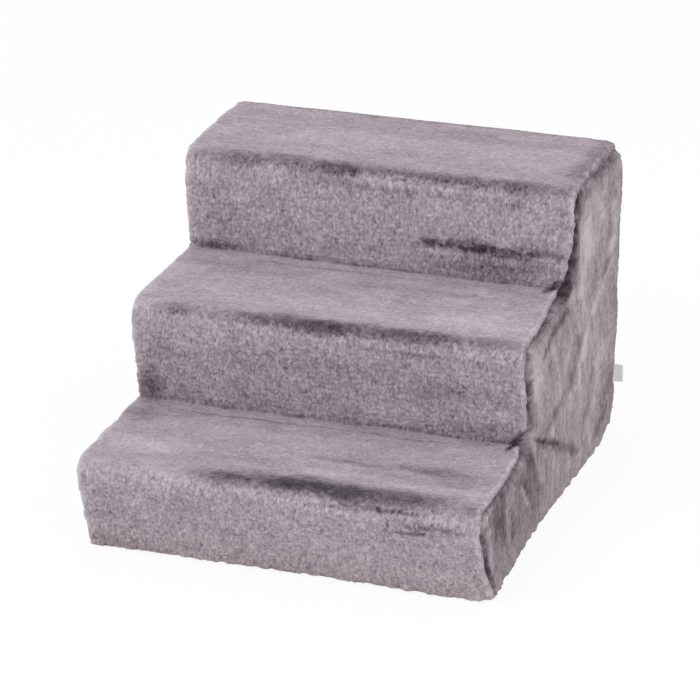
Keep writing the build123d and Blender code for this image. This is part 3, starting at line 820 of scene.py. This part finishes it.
def buildStepPanel():
    # u runs across the cloth, v along it from the front hem
    p, grid = stepPanel, plush["grid"]
    path, along, marks = turnedPath(coverCorners())
    creases, noses = (marks[2], marks[4]), (marks[1], marks[3], marks[5])
    total = along[-1]
    stops = [0.0, *creases, total]
    s = placesBetween(stops, [int(round((b - a) / grid)) for a, b in zip(stops, stops[1:])])
    breaks = [int(np.argmin(abs(s - stop))) for stop in stops]
    reach = p["halfWidth"] - p["edgeRoll"] + p["edgeRoll"] * math.pi / 2 + p["turnIn"]
    c = np.linspace(-reach, reach, int(round(2 * reach / grid)) + 1)
    y, z = np.interp(s, along, path[:, 0]), np.interp(s, along, path[:, 1])
    ty, tz = np.gradient(y, s), np.gradient(z, s)
    length = np.hypot(ty, tz)
    ny, nz = -tz / length, ty / length
    v, u = np.meshgrid(s, c, indexing="ij")
    edgeRoll = p["edgeRoll"] + (p["topRoll"] - p["edgeRoll"]) * smooth(v, noses[2] - 12, noses[2] + 14)
    edgeRoll = edgeRoll + p["rearRoll"] * smooth(v, noses[2] + 60, marks[6])
    x, drop = rolledBoth(u, p["halfWidth"], edgeRoll, math.radians(p["rollAngle"]))
    drop = np.minimum(drop, p["turnedUnder"])
    points = np.stack([x, y[:, None] - ny[:, None] * drop, z[:, None] - nz[:, None] * drop], axis=-1)
    drawIn(points, x, y[:, None], z[:, None])
    points[..., 0], points[..., 1] = flaredOut(points[..., 0], points[..., 1], points[..., 2])
    outward = facing(points)
    # lay is 0 on a riser, where the pile stands in curls, and 1 on a tread, where it lies flat
    lay = 1 - smooth(np.clip(np.abs(ny), 0, 1)[:, None] * np.ones_like(x), 0.25, 0.9)
    curlHeight, curlDepth, pits = curledPile(u, v, p["seed"])
    laidHeight, laidDepth = brushedPile(u, v, p["seed"] + 100)
    height = curlHeight * (1 - lay) + laidHeight * lay
    depth = curlDepth * (1 - lay) + laidDepth * lay
    height += plush["lumps"] * layeredMottle(u / 48, v / 30, 61)
    # noses are worn a little uneven
    for nose in noses:
        height += p["noseWear"] * mottle(u / 33, v / 60, 77) * hill(v - nose, 18)
    napAndPaintedShading = 0.2 * layeredMottle(u / 24, v / 11, 91)
    napAndPaintedShading += 0.07 * layeredMottle(u / 40, v / 6, 95, 2) * lay
    # painted shade in the small pits on the risers
    napAndPaintedShading -= 0.9 * pits * (1 - lay)
    # creases where riser meets tread, and the fainter fold in front of them, each dented and darkened
    # with painted shade
    for k, (crease, (start, stop)) in enumerate(zip(creases, p["foldSpans"])):
        d = v - crease + 0.8 * ripple(u / 26, 31 + k)
        height -= p["creaseDepth"] * hill(d, 2.2)
        napAndPaintedShading -= hill(d, 1.2) * (0.75 + 0.35 * ripple(u / 18, 37 + k, 3))
        near = smooth(u, start, start + 30) * (1 - smooth(u, stop - 60, stop))
        e = d + p["foldAhead"] + 2.2 * ripple(u / 40, 47 + k, 5)
        napAndPaintedShading -= 0.6 * hill(e, 2.1) * near * (0.7 + 0.4 * ripple(u / 12, 53 + k))
        height -= p["foldDepth"] * hill(e, 2.2) * near
    # the seam stands up as a ridge along both stepped edges, with a painted highlight on it, the left
    # edge painted lighter, and painted shade on the pile turned in behind it
    fromEdge = reach - p["turnIn"] - np.abs(u)
    wander = 0.7 * ripple(v / 9, 73)
    ridge = hill(fromEdge - 3.8 + wander, 2.0)
    height += p["ridge"] * ridge
    napAndPaintedShading += p["ridgeHighlightAndShade"] * ridge * (0.7 + 0.5 * ripple(v / 6, 71))
    napAndPaintedShading += np.where(u < 0, 0.3, 0.0) * hill(fromEdge, 8)
    napAndPaintedShading -= p["ridgeHighlightAndShade"] * smooth(-fromEdge + wander, 0.0, 3.0)
    # the pile gets shorter where the cloth is turned in
    fade = smooth(fromEdge, -4.0, 3.0) * smooth(v, 1.0, 9.0) * smooth(total - v, 4.0, 16.0)
    height = height * (0.2 + 0.8 * fade)
    locks = p["locks"] * hill(fromEdge - 1.0, 3.0) * layeredMottle(v / 4.2, u / 3.4, 105, 2)
    height += locks * np.where(u > 0, 1.0, 0.45)
    height += hill(v - 9.5, 3.2) * raggedHem(u, 8, 3.2, 81)
    napAndPaintedShading += napAndPaintedShadingTone(points, "step", u, v)
    points = standing(points, outward, height, u, v, 85)
    pieces = []
    for k, name in enumerate(("coverPlushLower", "coverPlushMiddle", "coverPlushUpper")):
        rows = slice(breaks[k], breaks[k + 1] + 1)
        values = {"pile": depth[rows], "napAndPaintedShading": napAndPaintedShading[rows], "lay": lay[rows]}
        piece = makeGrid(name, points[rows], "plush", values)
        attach(piece, "cover")
        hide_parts("cover_step_panel")
        pieces.append(piece)
    return pieces


stepPieces = buildStepPanel()
print("pet stairs: step panel laid,", sum(len(p.data.polygons) for p in stepPieces), "faces")


# The side panels: stepped pieces of plush whose rear edge turns the corner to the back

sidePanel = {
    "face": 199.8,
    "span": (-240.0, 312.0),  # y and z up to which the cloth is laid out before it is cut
    "gap": 0.2,  # how far inside the finished rear and hem it ends
    "seamInset": 4.8,  # how far inside the stepped edge the side's plush begins
    "seamRoll": 5.0,
    "edgeRoll": 4.5,
    "hemRoll": (2.4, 6.0),  # radius under the front and under the rest
    "hemTuck": 3.0,
    "overTape": 192.8,  # the plush stays outside this x, to hide the tape on the seam
    "rearStrip": 3.1,  # how far the cloth runs on over the back, up to the flap
    "tuckRadius": 41.0,  # the rear bottom corner is tucked in
    "wrinkle": 1.7,
    # slack folds: y and z of the start, the direction, how long and how deep
    "folds": ((-52, 104, 118, -52, 128, 1.0), (96, 214, -14, 60, 60, 0.4)),
    "locks": 1.6,
    "grooveShade": 0.36,  # how dark the painted shade in the groove along the seam is
    "sag": 1.3,  # height of the broad waves in the cloth
    "swell": 1.6,  # how far the plush stands out towards the rear
    "bulge": 4.4,  # and how much more at the rear top corner
    "leftShare": 0.4,  # how much of tuck and bulge the unseen left side has
    "leftTuck": 0.6,  # and of the tuck's radius
}


def outlineDistance(y, z, path):
    # distance to a stepped line, and the nearest place on it
    best = np.full(y.shape, 1e9)
    nearest = np.zeros((*y.shape, 2))
    for a, b in zip(path[:-1], path[1:]):
        run = b - a
        t = ((y - a[0]) * run[0] + (z - a[1]) * run[1]) / max((run**2).sum(), 1e-9)
        t = np.clip(t, 0, 1)
        py, pz = a[0] + t * run[0], a[1] + t * run[1]
        d = np.hypot(y - py, z - pz)
        closer = d < best
        best = np.where(closer, d, best)
        nearest[closer] = np.stack([py, pz], axis=-1)[closer]
    return best, nearest


def insideLine(y, z, path):
    inside = np.zeros(y.shape, bool)
    for a, b in zip(path, np.roll(path, -1, axis=0)):
        crosses = (a[1] > z) != (b[1] > z)
        with np.errstate(divide="ignore", invalid="ignore"):
            at = (b[0] - a[0]) * (z - a[1]) / (b[1] - a[1]) + a[0]
        inside ^= crosses & (y < at)
    return inside


def sideLine():
    # the stepped edge of the side's plush, set in from the finished one
    corners = [(riserY(0, -30.0), -30.0, 0), *coverCorners()[2:-2], (stairs["rear"], 296.0, 0)]
    line = movedIn(turnedPath(corners, 3.0)[0], sidePanel["seamInset"])
    return np.concatenate([line, [[stairs["rear"] + 40, line[-1, 1]]]])


def buildSidePanel(side, name, node, where, seed):
    # u runs back along the cloth and round the rear corner, v up from the hem's turned edge
    p = sidePanel
    g = plush["grid"] + 0.1
    roll, share = p["edgeRoll"], 1.0 if side > 0 else p["leftShare"]
    rear, hem = stairs["rear"] - p["gap"], stairs["hem"] + p["gap"]
    quarter = math.pi / 2
    (front, top), rim = p["span"], rear - roll + roll * quarter + p["rearStrip"]
    frontRoll, hemRoll = p["hemRoll"]
    a = np.linspace(front, rim, int((rim - front) / g) + 1)
    b = np.arange(hem + hemRoll - hemRoll * quarter - 1.6, top, g)
    v, u = np.meshgrid(b, a, indexing="ij")
    y, drop = rolledOver(u, rear, roll)
    z, hemDrop = rolledOver(-v, -hem, frontRoll + (hemRoll - frontRoll) * smooth(u, -150, -50))
    z, drop = -z, np.minimum(drop + hemDrop, stairs["turnedUnder"])
    line = sideLine()
    loop = np.concatenate([line, [[400, line[-1, 1]], [400, -60], [line[0, 0], -60]]])
    within = insideLine(u, v, loop)
    distance, nearest = outlineDistance(u, v, line)
    # cells that straddle the edge are kept, and their outer corners are moved onto it
    cells = within[:-1, :-1] & within[1:, :-1] & within[:-1, 1:] & within[1:, 1:]
    cells |= insideLine((u[:-1, :-1] + u[1:, 1:]) / 2, (v[:-1, :-1] + v[1:, 1:]) / 2, loop)
    outside = ~within & (distance < 1.5 * g)
    y, z = np.where(outside, nearest[..., 0], y), np.where(outside, nearest[..., 1], z)
    d = np.where(within, distance, 0.0)
    # where the seam is drawn in, the plush rolls over the edge to meet it
    r = p["seamRoll"] + pulledIn(nearest[..., 0], nearest[..., 1], side)
    seamDrop = r - np.sqrt(np.clip(r * r - np.clip(r - d, 0, r) ** 2, 0, None))
    x = p["face"] - drop - seamDrop - np.minimum(0.22 * pulledIn(y, z, side), 3.5)
    # even where it is drawn in most, the roll stays over the tape inside the seam
    over = x - (p["overTape"] - 16.0 * np.clip(1 - d / 2.9, 0, 1) ** 1.5)
    lift = 0.5 * (np.sqrt(over**2 + 1.0) - over)
    x = x + lift * (1 - smooth(d, 10, 16)) * (1 - smooth(drop, 0, 2))
    # the rear bottom corner is tucked in where the photograph shows it
    tuck = p["tuckRadius"] * (1.0 if side > 0 else p["leftTuck"])
    vy, vz = (y - (rear - tuck)) / tuck, ((hem + tuck) - z) / tuck
    corner = (vy > 0) & (vz > 0)
    shrink = np.maximum(vy, vz) / np.maximum(np.hypot(vy, vz), 1e-6) - 1
    weight = np.clip(1 - drop / stairs["turnedUnder"], 0, 1) ** 0.5
    y = np.where(corner, y + shrink * vy * tuck * weight, y)
    z = np.where(corner, z - shrink * vz * tuck * weight, z)
    hemIn = p["hemTuck"] * smooth(u, -150, -50) * (1 - 0.7 * smooth(u, 40, 150)) * (1 - smooth(v, 0, 46))
    swell = p["bulge"] * hill(u - 216, 46) * hill(v - 280, 80)
    swell = (swell + p["swell"] * smooth(u, 150, 215) * smooth(v, 60, 120)) * smooth(d, 0, 6)
    x = x - hemIn * share + swell * share * weight
    points = np.stack([*flaredOut(side * x, y, z), z], axis=-1)
    outward = facing(points) * side
    height, depth = strokedPile(u, v, seed)
    height += p["sag"] * layeredMottle(u / 46, v / 60, seed + 50)
    napAndPaintedShading = 0.26 * layeredMottle((u + 0.3 * v) / 8, v / 34, seed + 60)
    napAndPaintedShading += 0.12 * layeredMottle(u / 40, v / 50, seed + 70, 2)
    # a slack fold runs back and down from the lower inner corner, a shorter one up from the other
    for k, (y0, z0, dy, dz, reach, deep) in enumerate(p["folds"]):
        run = math.hypot(dy, dz)
        t = ((u - y0) * dy + (v - z0) * dz) / run
        off = ((u - y0) * -dz + (v - z0) * dy) / run + 3.0 * ripple(t / 26, seed + 80 + k)
        on = smooth(t, -8, 10) * (1 - smooth(t, 0.55 * reach, reach))
        on = on * (0.75 + 0.4 * ripple(t / 8, seed + 84 + k))
        height += p["wrinkle"] * deep * on * (hill(off - 5, 5) - 1.1 * hill(off, 2.6))
        # painted shade in the fold's valley
        napAndPaintedShading -= 0.75 * deep * on * hill(off, 2.3)
    # painted shade in the wavy groove along the seam, with tufts leaning over it and a lighter band
    # beside it
    wave = 1.5 * layeredMottle(u / 12, v / 9, seed + 90, 2)
    seen, _ = outlineDistance(u * 0.5, v, line * (0.5, 1))
    dark = p["grooveShade"] + 0.5 * mottle(u / 12, v / 9, seed + 92)
    napAndPaintedShading -= dark * (1 - smooth(seen + wave, 0.6, 4.0))
    napAndPaintedShading += 0.15 * hill(seen - 7 + wave, 3.0)
    if side > 0:
        napAndPaintedShading += strokeTone(u, v, seed + 99)
    # painted shade where the cloth turns under at the rear and the hem
    napAndPaintedShading -= 0.8 * smooth(drop, 5.6, 7.5)
    napAndPaintedShading += napAndPaintedShadingTone(points, where, u, v)
    height += hill(v - (hem + 1), 3.5) * raggedHem(u, 11, 4, seed + 93)
    fade = smooth(d, 0.0, 4.0) * (1 - smooth(drop, 5.4, 7.4))
    height = height * (0.12 + 0.88 * fade)
    height += p["locks"] * hill(d - 4.5, 3.0) * layeredMottle(u / 4.6, v / 4.6, seed + 107, 2)
    points = standing(points, outward, height, u, v, seed + 97)
    values = {"pile": depth, "napAndPaintedShading": napAndPaintedShading, "lay": np.zeros(u.shape)}
    piece = makeGrid(name, points, "sidePlush", values, cells, flip=side < 0)
    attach(piece, "cover")
    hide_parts(node)
    return piece


rightPlush = buildSidePanel(1, "coverPlushRight", "cover_right_panel", "right", 211)
leftPlush = buildSidePanel(-1, "coverPlushLeft", "cover_left_panel", "left", 307)
print("pet stairs: side panels laid,", len(rightPlush.data.polygons), "faces each")


# The back flap, sewn to the step panel along its top edge

backFlap = {"edgeRoll": 4.0, "turnIn": 3.4, "gap": 0.3, "sag": 1.1, "locks": 1.1, "seed": 503}


def buildBackFlap():
    # u runs across the cloth, v up it
    p = backFlap
    roll, seed = p["edgeRoll"], p["seed"]
    top, hem = stairs["flapTop"], stairs["hem"]
    g = plush["grid"] + 0.15

    def laidOut(half):
        # how far the face reaches, the places along the cloth, and where the roll takes them
        face = half - roll + roll * math.pi / 2
        reach = face + p["turnIn"]
        places = np.linspace(-reach, reach, int(2 * reach / g) + 1)
        return face, places, *rolledBoth(places, half, roll)

    faceX, c, x, dropX = laidOut(stairs["flapHalfWidth"])
    faceZ, t, z, dropZ = laidOut((top - hem) / 2)
    v, u = np.meshgrid(t, c, indexing="ij")
    placeZ, placeX = np.meshgrid((top + hem) / 2 + z, x, indexing="ij")
    drop = np.minimum(dropZ[:, None] + dropX[None, :], stairs["turnedUnder"])
    points = np.stack([placeX, stairs["rear"] - p["gap"] - drop, placeZ], axis=-1)
    outward = -facing(points)
    height, depth = strokedPile(u, v, seed)
    height = 0.85 * height + p["sag"] * layeredMottle(u / 60, v / 44, seed + 50)
    edge = np.minimum(faceX - np.abs(u), faceZ - np.abs(v))
    height = height * (0.1 + 0.9 * smooth(edge, -2.0, 7.0)) - 0.5
    locks = layeredMottle(u / 4.6, v / 4.6, seed + 107, 2)
    height += p["locks"] * hill(edge - 3.0, 2.6) * locks
    napAndPaintedShading = 0.26 * layeredMottle(u / 11, v / 50, seed + 60)
    napAndPaintedShading += 0.14 * layeredMottle(u / 50, v / 50, seed + 70, 2)
    # painted shade along the turned-in edges
    napAndPaintedShading -= 0.7 * (1 - smooth(edge + 0.8 * mottle(u / 7, v / 7, 99), 0.0, 5.0))
    napAndPaintedShading += napAndPaintedShadingTone(points, "back", u, v)
    points = standing(points, outward, height, u, v, seed + 4, 0.6)
    values = {"pile": depth, "napAndPaintedShading": napAndPaintedShading, "lay": np.zeros(u.shape)}
    piece = makeGrid("coverPlushBack", points, "sidePlush", values, flip=True)
    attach(piece, "back_flap")
    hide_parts("cover_back_flap")
    return piece


backPlush = buildBackFlap()
print("pet stairs: back flap laid")


# The knitted backing inside: the cloth itself, with the plush standing on it

backing = {
    "inner": 7.9,  # how deep under the face its two layers lie
    "outer": 6.7,
    "halfWidth": 190.0,
    "sideInset": 8.3,
    "sideLayers": (192.1, 193.3),
    "rearCorner": 40,  # radius of the side's rear bottom corner
    "drawnIn": 0.45,  # share of the plush's own drawing in by which the side is cut back
    "flapHalfWidth": 191.2,
    "flapSpan": (2.3, 292.2),
}


def insetPath(depth):
    # the stepped line from the front hem to the rear top edge, moved in by depth
    s = stairs
    first = (riserY(0, s["hem"]) + depth, s["hem"], 0)
    last = (s["rear"] - depth, 3 * s["rise"] - depth, s["noseRadius"] - depth)
    return [first, *steppedCorners(depth), last]


def closedSheet(name, inner, outer, body, node, finish="backing"):
    # two layers of points joined round their rim
    rows, columns = inner.shape[:2]
    index, quads = gridQuads(rows, columns)
    quads, lift = quads.reshape(-1, 4), rows * columns
    faces = [*quads[:, ::-1].tolist(), *(quads + lift).tolist()]
    rim = [*index[0, :], *index[1:, -1], *index[-1, -2::-1], *index[-2:0:-1, 0]]
    faces += [[int(p), int(q), int(q + lift), int(p + lift)] for p, q in zip(rim, rim[1:] + rim[:1])]
    places = np.concatenate([inner.reshape(-1, 3), outer.reshape(-1, 3)])
    thing = makePiece(name, places, faces, finish)
    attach(thing, body)
    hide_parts(node)
    return thing


def stepBacking():
    half, columns = backing["halfWidth"], 49
    layers = []
    for depth in (backing["inner"], backing["outer"]):
        end = (stairs["rear"] - depth, stairs["seamTop"], 0)
        path, along, marks = turnedPath([*insetPath(depth), end], 0.5)
        # both layers are cut at the same marks, so that their points face each other
        s = placesBetween([0.0, *marks], [24] * len(marks))
        y, z = np.interp(s, along, path[:, 0]), np.interp(s, along, path[:, 1])
        x = np.linspace(-half, half, columns)
        places = [np.broadcast_to(v, (len(s), columns)) for v in (x, y[:, None], z[:, None])]
        sheet = np.stack(places, axis=-1)
        drawIn(sheet, x, sheet[..., 1], sheet[..., 2])
        layers.append(sheet)
    return closedSheet("coverBackingStep", *layers, "cover", "cover_step_panel")


def sideBacking(side, name, node):
    rear, inset = stairs["rear"], backing["sideInset"]
    ends = [(rear - inset, 60.0, backing["rearCorner"]), (rear - 50, stairs["hem"] + 0.4, 0)]
    path, _, _ = turnedPath([*insetPath(inset), *ends], 4.0)
    # cut back where the plush over it is drawn in
    pulled = np.maximum(pulledIn(path[:, 0], path[:, 1], side) - seamSway["most"], 0)
    path = movedIn(path, backing["drawnIn"] * pulled)
    count = len(path)
    places = np.array([(side * x, y, z) for x in backing["sideLayers"] for y, z in path])
    ring = list(range(count))
    faces = [ring if side < 0 else ring[::-1], [i + count for i in (ring[::-1] if side < 0 else ring)]]
    for i in ring:
        j = (i + 1) % count
        faces.append([i, j, j + count, i + count] if side > 0 else [j, i, i + count, j + count])
    thing = makePiece(name, places, faces, "backing", flat=True)
    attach(thing, "cover")
    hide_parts(node)
    return thing


def flapBacking():
    half = backing["flapHalfWidth"]
    z, x = np.meshgrid(np.linspace(*backing["flapSpan"], 41), np.linspace(-half, half, 49), indexing="ij")
    layers = [
        np.stack([x, np.full(x.shape, stairs["rear"] - depth), z], axis=-1)
        for depth in (backing["inner"], backing["outer"])
    ]
    return closedSheet("coverBackingFlap", *layers, "back_flap", "cover_back_flap")


careTab = {
    "middle": (202.6, 219.0, 64.5),
    "halfWidth": 7.2,
    "halfHeight": 9.6,
    "halfThickness": 0.36,
    "bow": 0.54,
}


def careLabel():
    # a folded tab, bowed a little, caught in the rear seam
    p = careTab
    v, u = np.meshgrid(np.linspace(-1, 1, 21), np.linspace(-1, 1, 15), indexing="ij")
    x = p["middle"][0] + p["halfWidth"] * u - 0.25 * v * v * (u > 0)
    y = p["middle"][1] + p["bow"] * np.sin((u + 1) * 1.2) + 0.25 * np.sin(v * 3.0) - 0.4
    z = p["middle"][2] + p["halfHeight"] * v - 0.35 * (u + 1) * v
    thick = p["halfThickness"] * np.sqrt(np.clip(1 - (np.clip(u, 0, 1)) ** 4, 0.02, 1))
    front, behind = (np.stack([x, y + way * thick, z], axis=-1) for way in (-1, 1))
    label = closedSheet("careLabel", front, behind, "cover", "care_label", "label")
    return label


backingStep = stepBacking()
backingRight = sideBacking(1, "coverBackingRight", "cover_right_panel")
backingLeft = sideBacking(-1, "coverBackingLeft", "cover_left_panel")
backingFlap = flapBacking()
label = careLabel()
print("pet stairs: backing and label made")


# Finishes on the pieces that come from the CAD as they are

finishOf = {  # part of a node's name, and the finish it gets
    "_board": "frame",
    "_tread": "frame",
    "_side_panel_right": "frame",
    "_side_panel_left": "frame",
    "clips": "clips",
    "rubber_feet": "feet",
    "hook_tape": "hooks",
    "loop_tape": "loops",
    "seam_tape": "seams",
}
for name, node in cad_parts.items():
    for part, finish in finishOf.items():
        if part in name:
            for place in node.material_slots:
                place.material = finishes[finish]

print("pet stairs: finishes put on the frame")


# Floor, light and camera

studio = {
    "floor": (250, 250, 250),
    "floorReach": 30.0,  # metres each way
    "floorGlow": 0.9,  # share of plain white that the camera sees in the floor
    "surround": 0.62,
    "aim": (0, 0, 0.12),  # where the lamps point
    "key": {"at": (-1.1, -1.9, 2.6), "size": 2.2, "power": 46.0},
    "fill": {"at": (2.6, -1.4, 1.5), "size": 2.4, "power": 24.0},
    "top": {"at": (0.2, 0.4, 3.0), "size": 2.6, "power": 18.0},
}
plainWhite = {"Color": (1, 1, 1, 1), "Strength": 1.0}


def emptyTree(owner):
    owner.use_nodes = True
    owner.node_tree.nodes.clear()
    return owner.node_tree


def lookingRay(tree):
    # 1 for a ray from the camera, a mirror or glass, 0 for one that gathers light
    path = addNode(tree, "ShaderNodeLightPath", {})
    total = path["Is Camera Ray"]
    for kind in ("Is Glossy Ray", "Is Transmission Ray"):
        total = addNode(tree, "ShaderNodeMath", {0: total, 1: path[kind]}, operation="MAXIMUM")["Value"]
    return total


def makeFloor():
    mesh = bpy.data.meshes.new("studioFloor")
    w = studio["floorReach"]
    mesh.from_pydata([(-w, -w, 0), (w, -w, 0), (w, w, 0), (-w, w, 0)], [], [(0, 1, 2, 3)])
    floor = linked("studioFloor", mesh)
    material = bpy.data.materials.new("paleFloor")
    tree = emptyTree(material)
    matte = addNode(tree, "ShaderNodeBsdfDiffuse", {"Color": (*linear(studio["floor"]), 1)})["BSDF"]
    glow = addNode(tree, "ShaderNodeEmission", plainWhite)["Emission"]
    rays = {0: lookingRay(tree), 1: studio["floorGlow"]}
    share = addNode(tree, "ShaderNodeMath", rays, operation="MULTIPLY")["Value"]
    mix = addNode(tree, "ShaderNodeMixShader", {0: share, 1: matte, 2: glow})["Shader"]
    addNode(tree, "ShaderNodeOutputMaterial", {"Surface": mix})
    mesh.materials.append(material)


def makeSurround():
    world = bpy.data.worlds.new("studioSurround")
    bpy.context.scene.world = world
    tree = emptyTree(world)
    soft, white = (
        addNode(tree, "ShaderNodeBackground", {**plainWhite, "Strength": strength})["Background"]
        for strength in (studio["surround"], 1.0)
    )
    mix = addNode(tree, "ShaderNodeMixShader", {0: lookingRay(tree), 1: soft, 2: white})["Shader"]
    addNode(tree, "ShaderNodeOutputWorld", {"Surface": mix})


def makeLamp(name):
    p = studio[name]
    data = bpy.data.lights.new(name + "Lamp", "AREA")
    data.shape, data.size, data.energy = "DISK", p["size"], p["power"]
    lamp = linked(name + "Lamp", data)
    lamp.location = p["at"]
    aim = Vector(studio["aim"]) - lamp.location
    lamp.rotation_euler = aim.to_track_quat("-Z", "Y").to_euler()


# Camera, fitted to the corners in the photograph
photoView = {
    "azimuth": 19.23,
    "elevation": 22.93,
    "roll": -0.52,
    "distance": 4.33,
    "shiftRight": 0.00331,
    "shiftUp": 0.00491,
    "centre": (0.0, 0.0036, 0.1548),
    "lens": 231.4,
    "sensor": 36.0,
}


def makeCamera():
    p = photoView
    a, e, r = (math.radians(p[k]) for k in ("azimuth", "elevation", "roll"))
    back = Vector((math.sin(a) * math.cos(e), -math.cos(a) * math.cos(e), math.sin(e)))
    level = Vector((math.cos(a), math.sin(a), 0))
    rise = back.cross(level)
    right = level * math.cos(r) + rise * math.sin(r)
    up = rise * math.cos(r) - level * math.sin(r)
    data = bpy.data.cameras.new("photoCamera")
    data.lens, data.sensor_width = p["lens"], p["sensor"]
    data.clip_start, data.clip_end = 0.1, 100.0
    camera = linked("photoCamera", data)
    place = Vector(p["centre"]) + back * p["distance"] - right * p["shiftRight"] - up * p["shiftUp"]
    turn = Matrix((right, up, back)).transposed()
    camera.matrix_world = Matrix.Translation(place) @ turn.to_4x4()
    bpy.context.scene.camera = camera


makeFloor()
makeSurround()
for lampName in ("key", "fill", "top"):
    makeLamp(lampName)

makeCamera()
bpy.context.scene.view_settings.view_transform = "Standard"
print("pet stairs: studio ready")
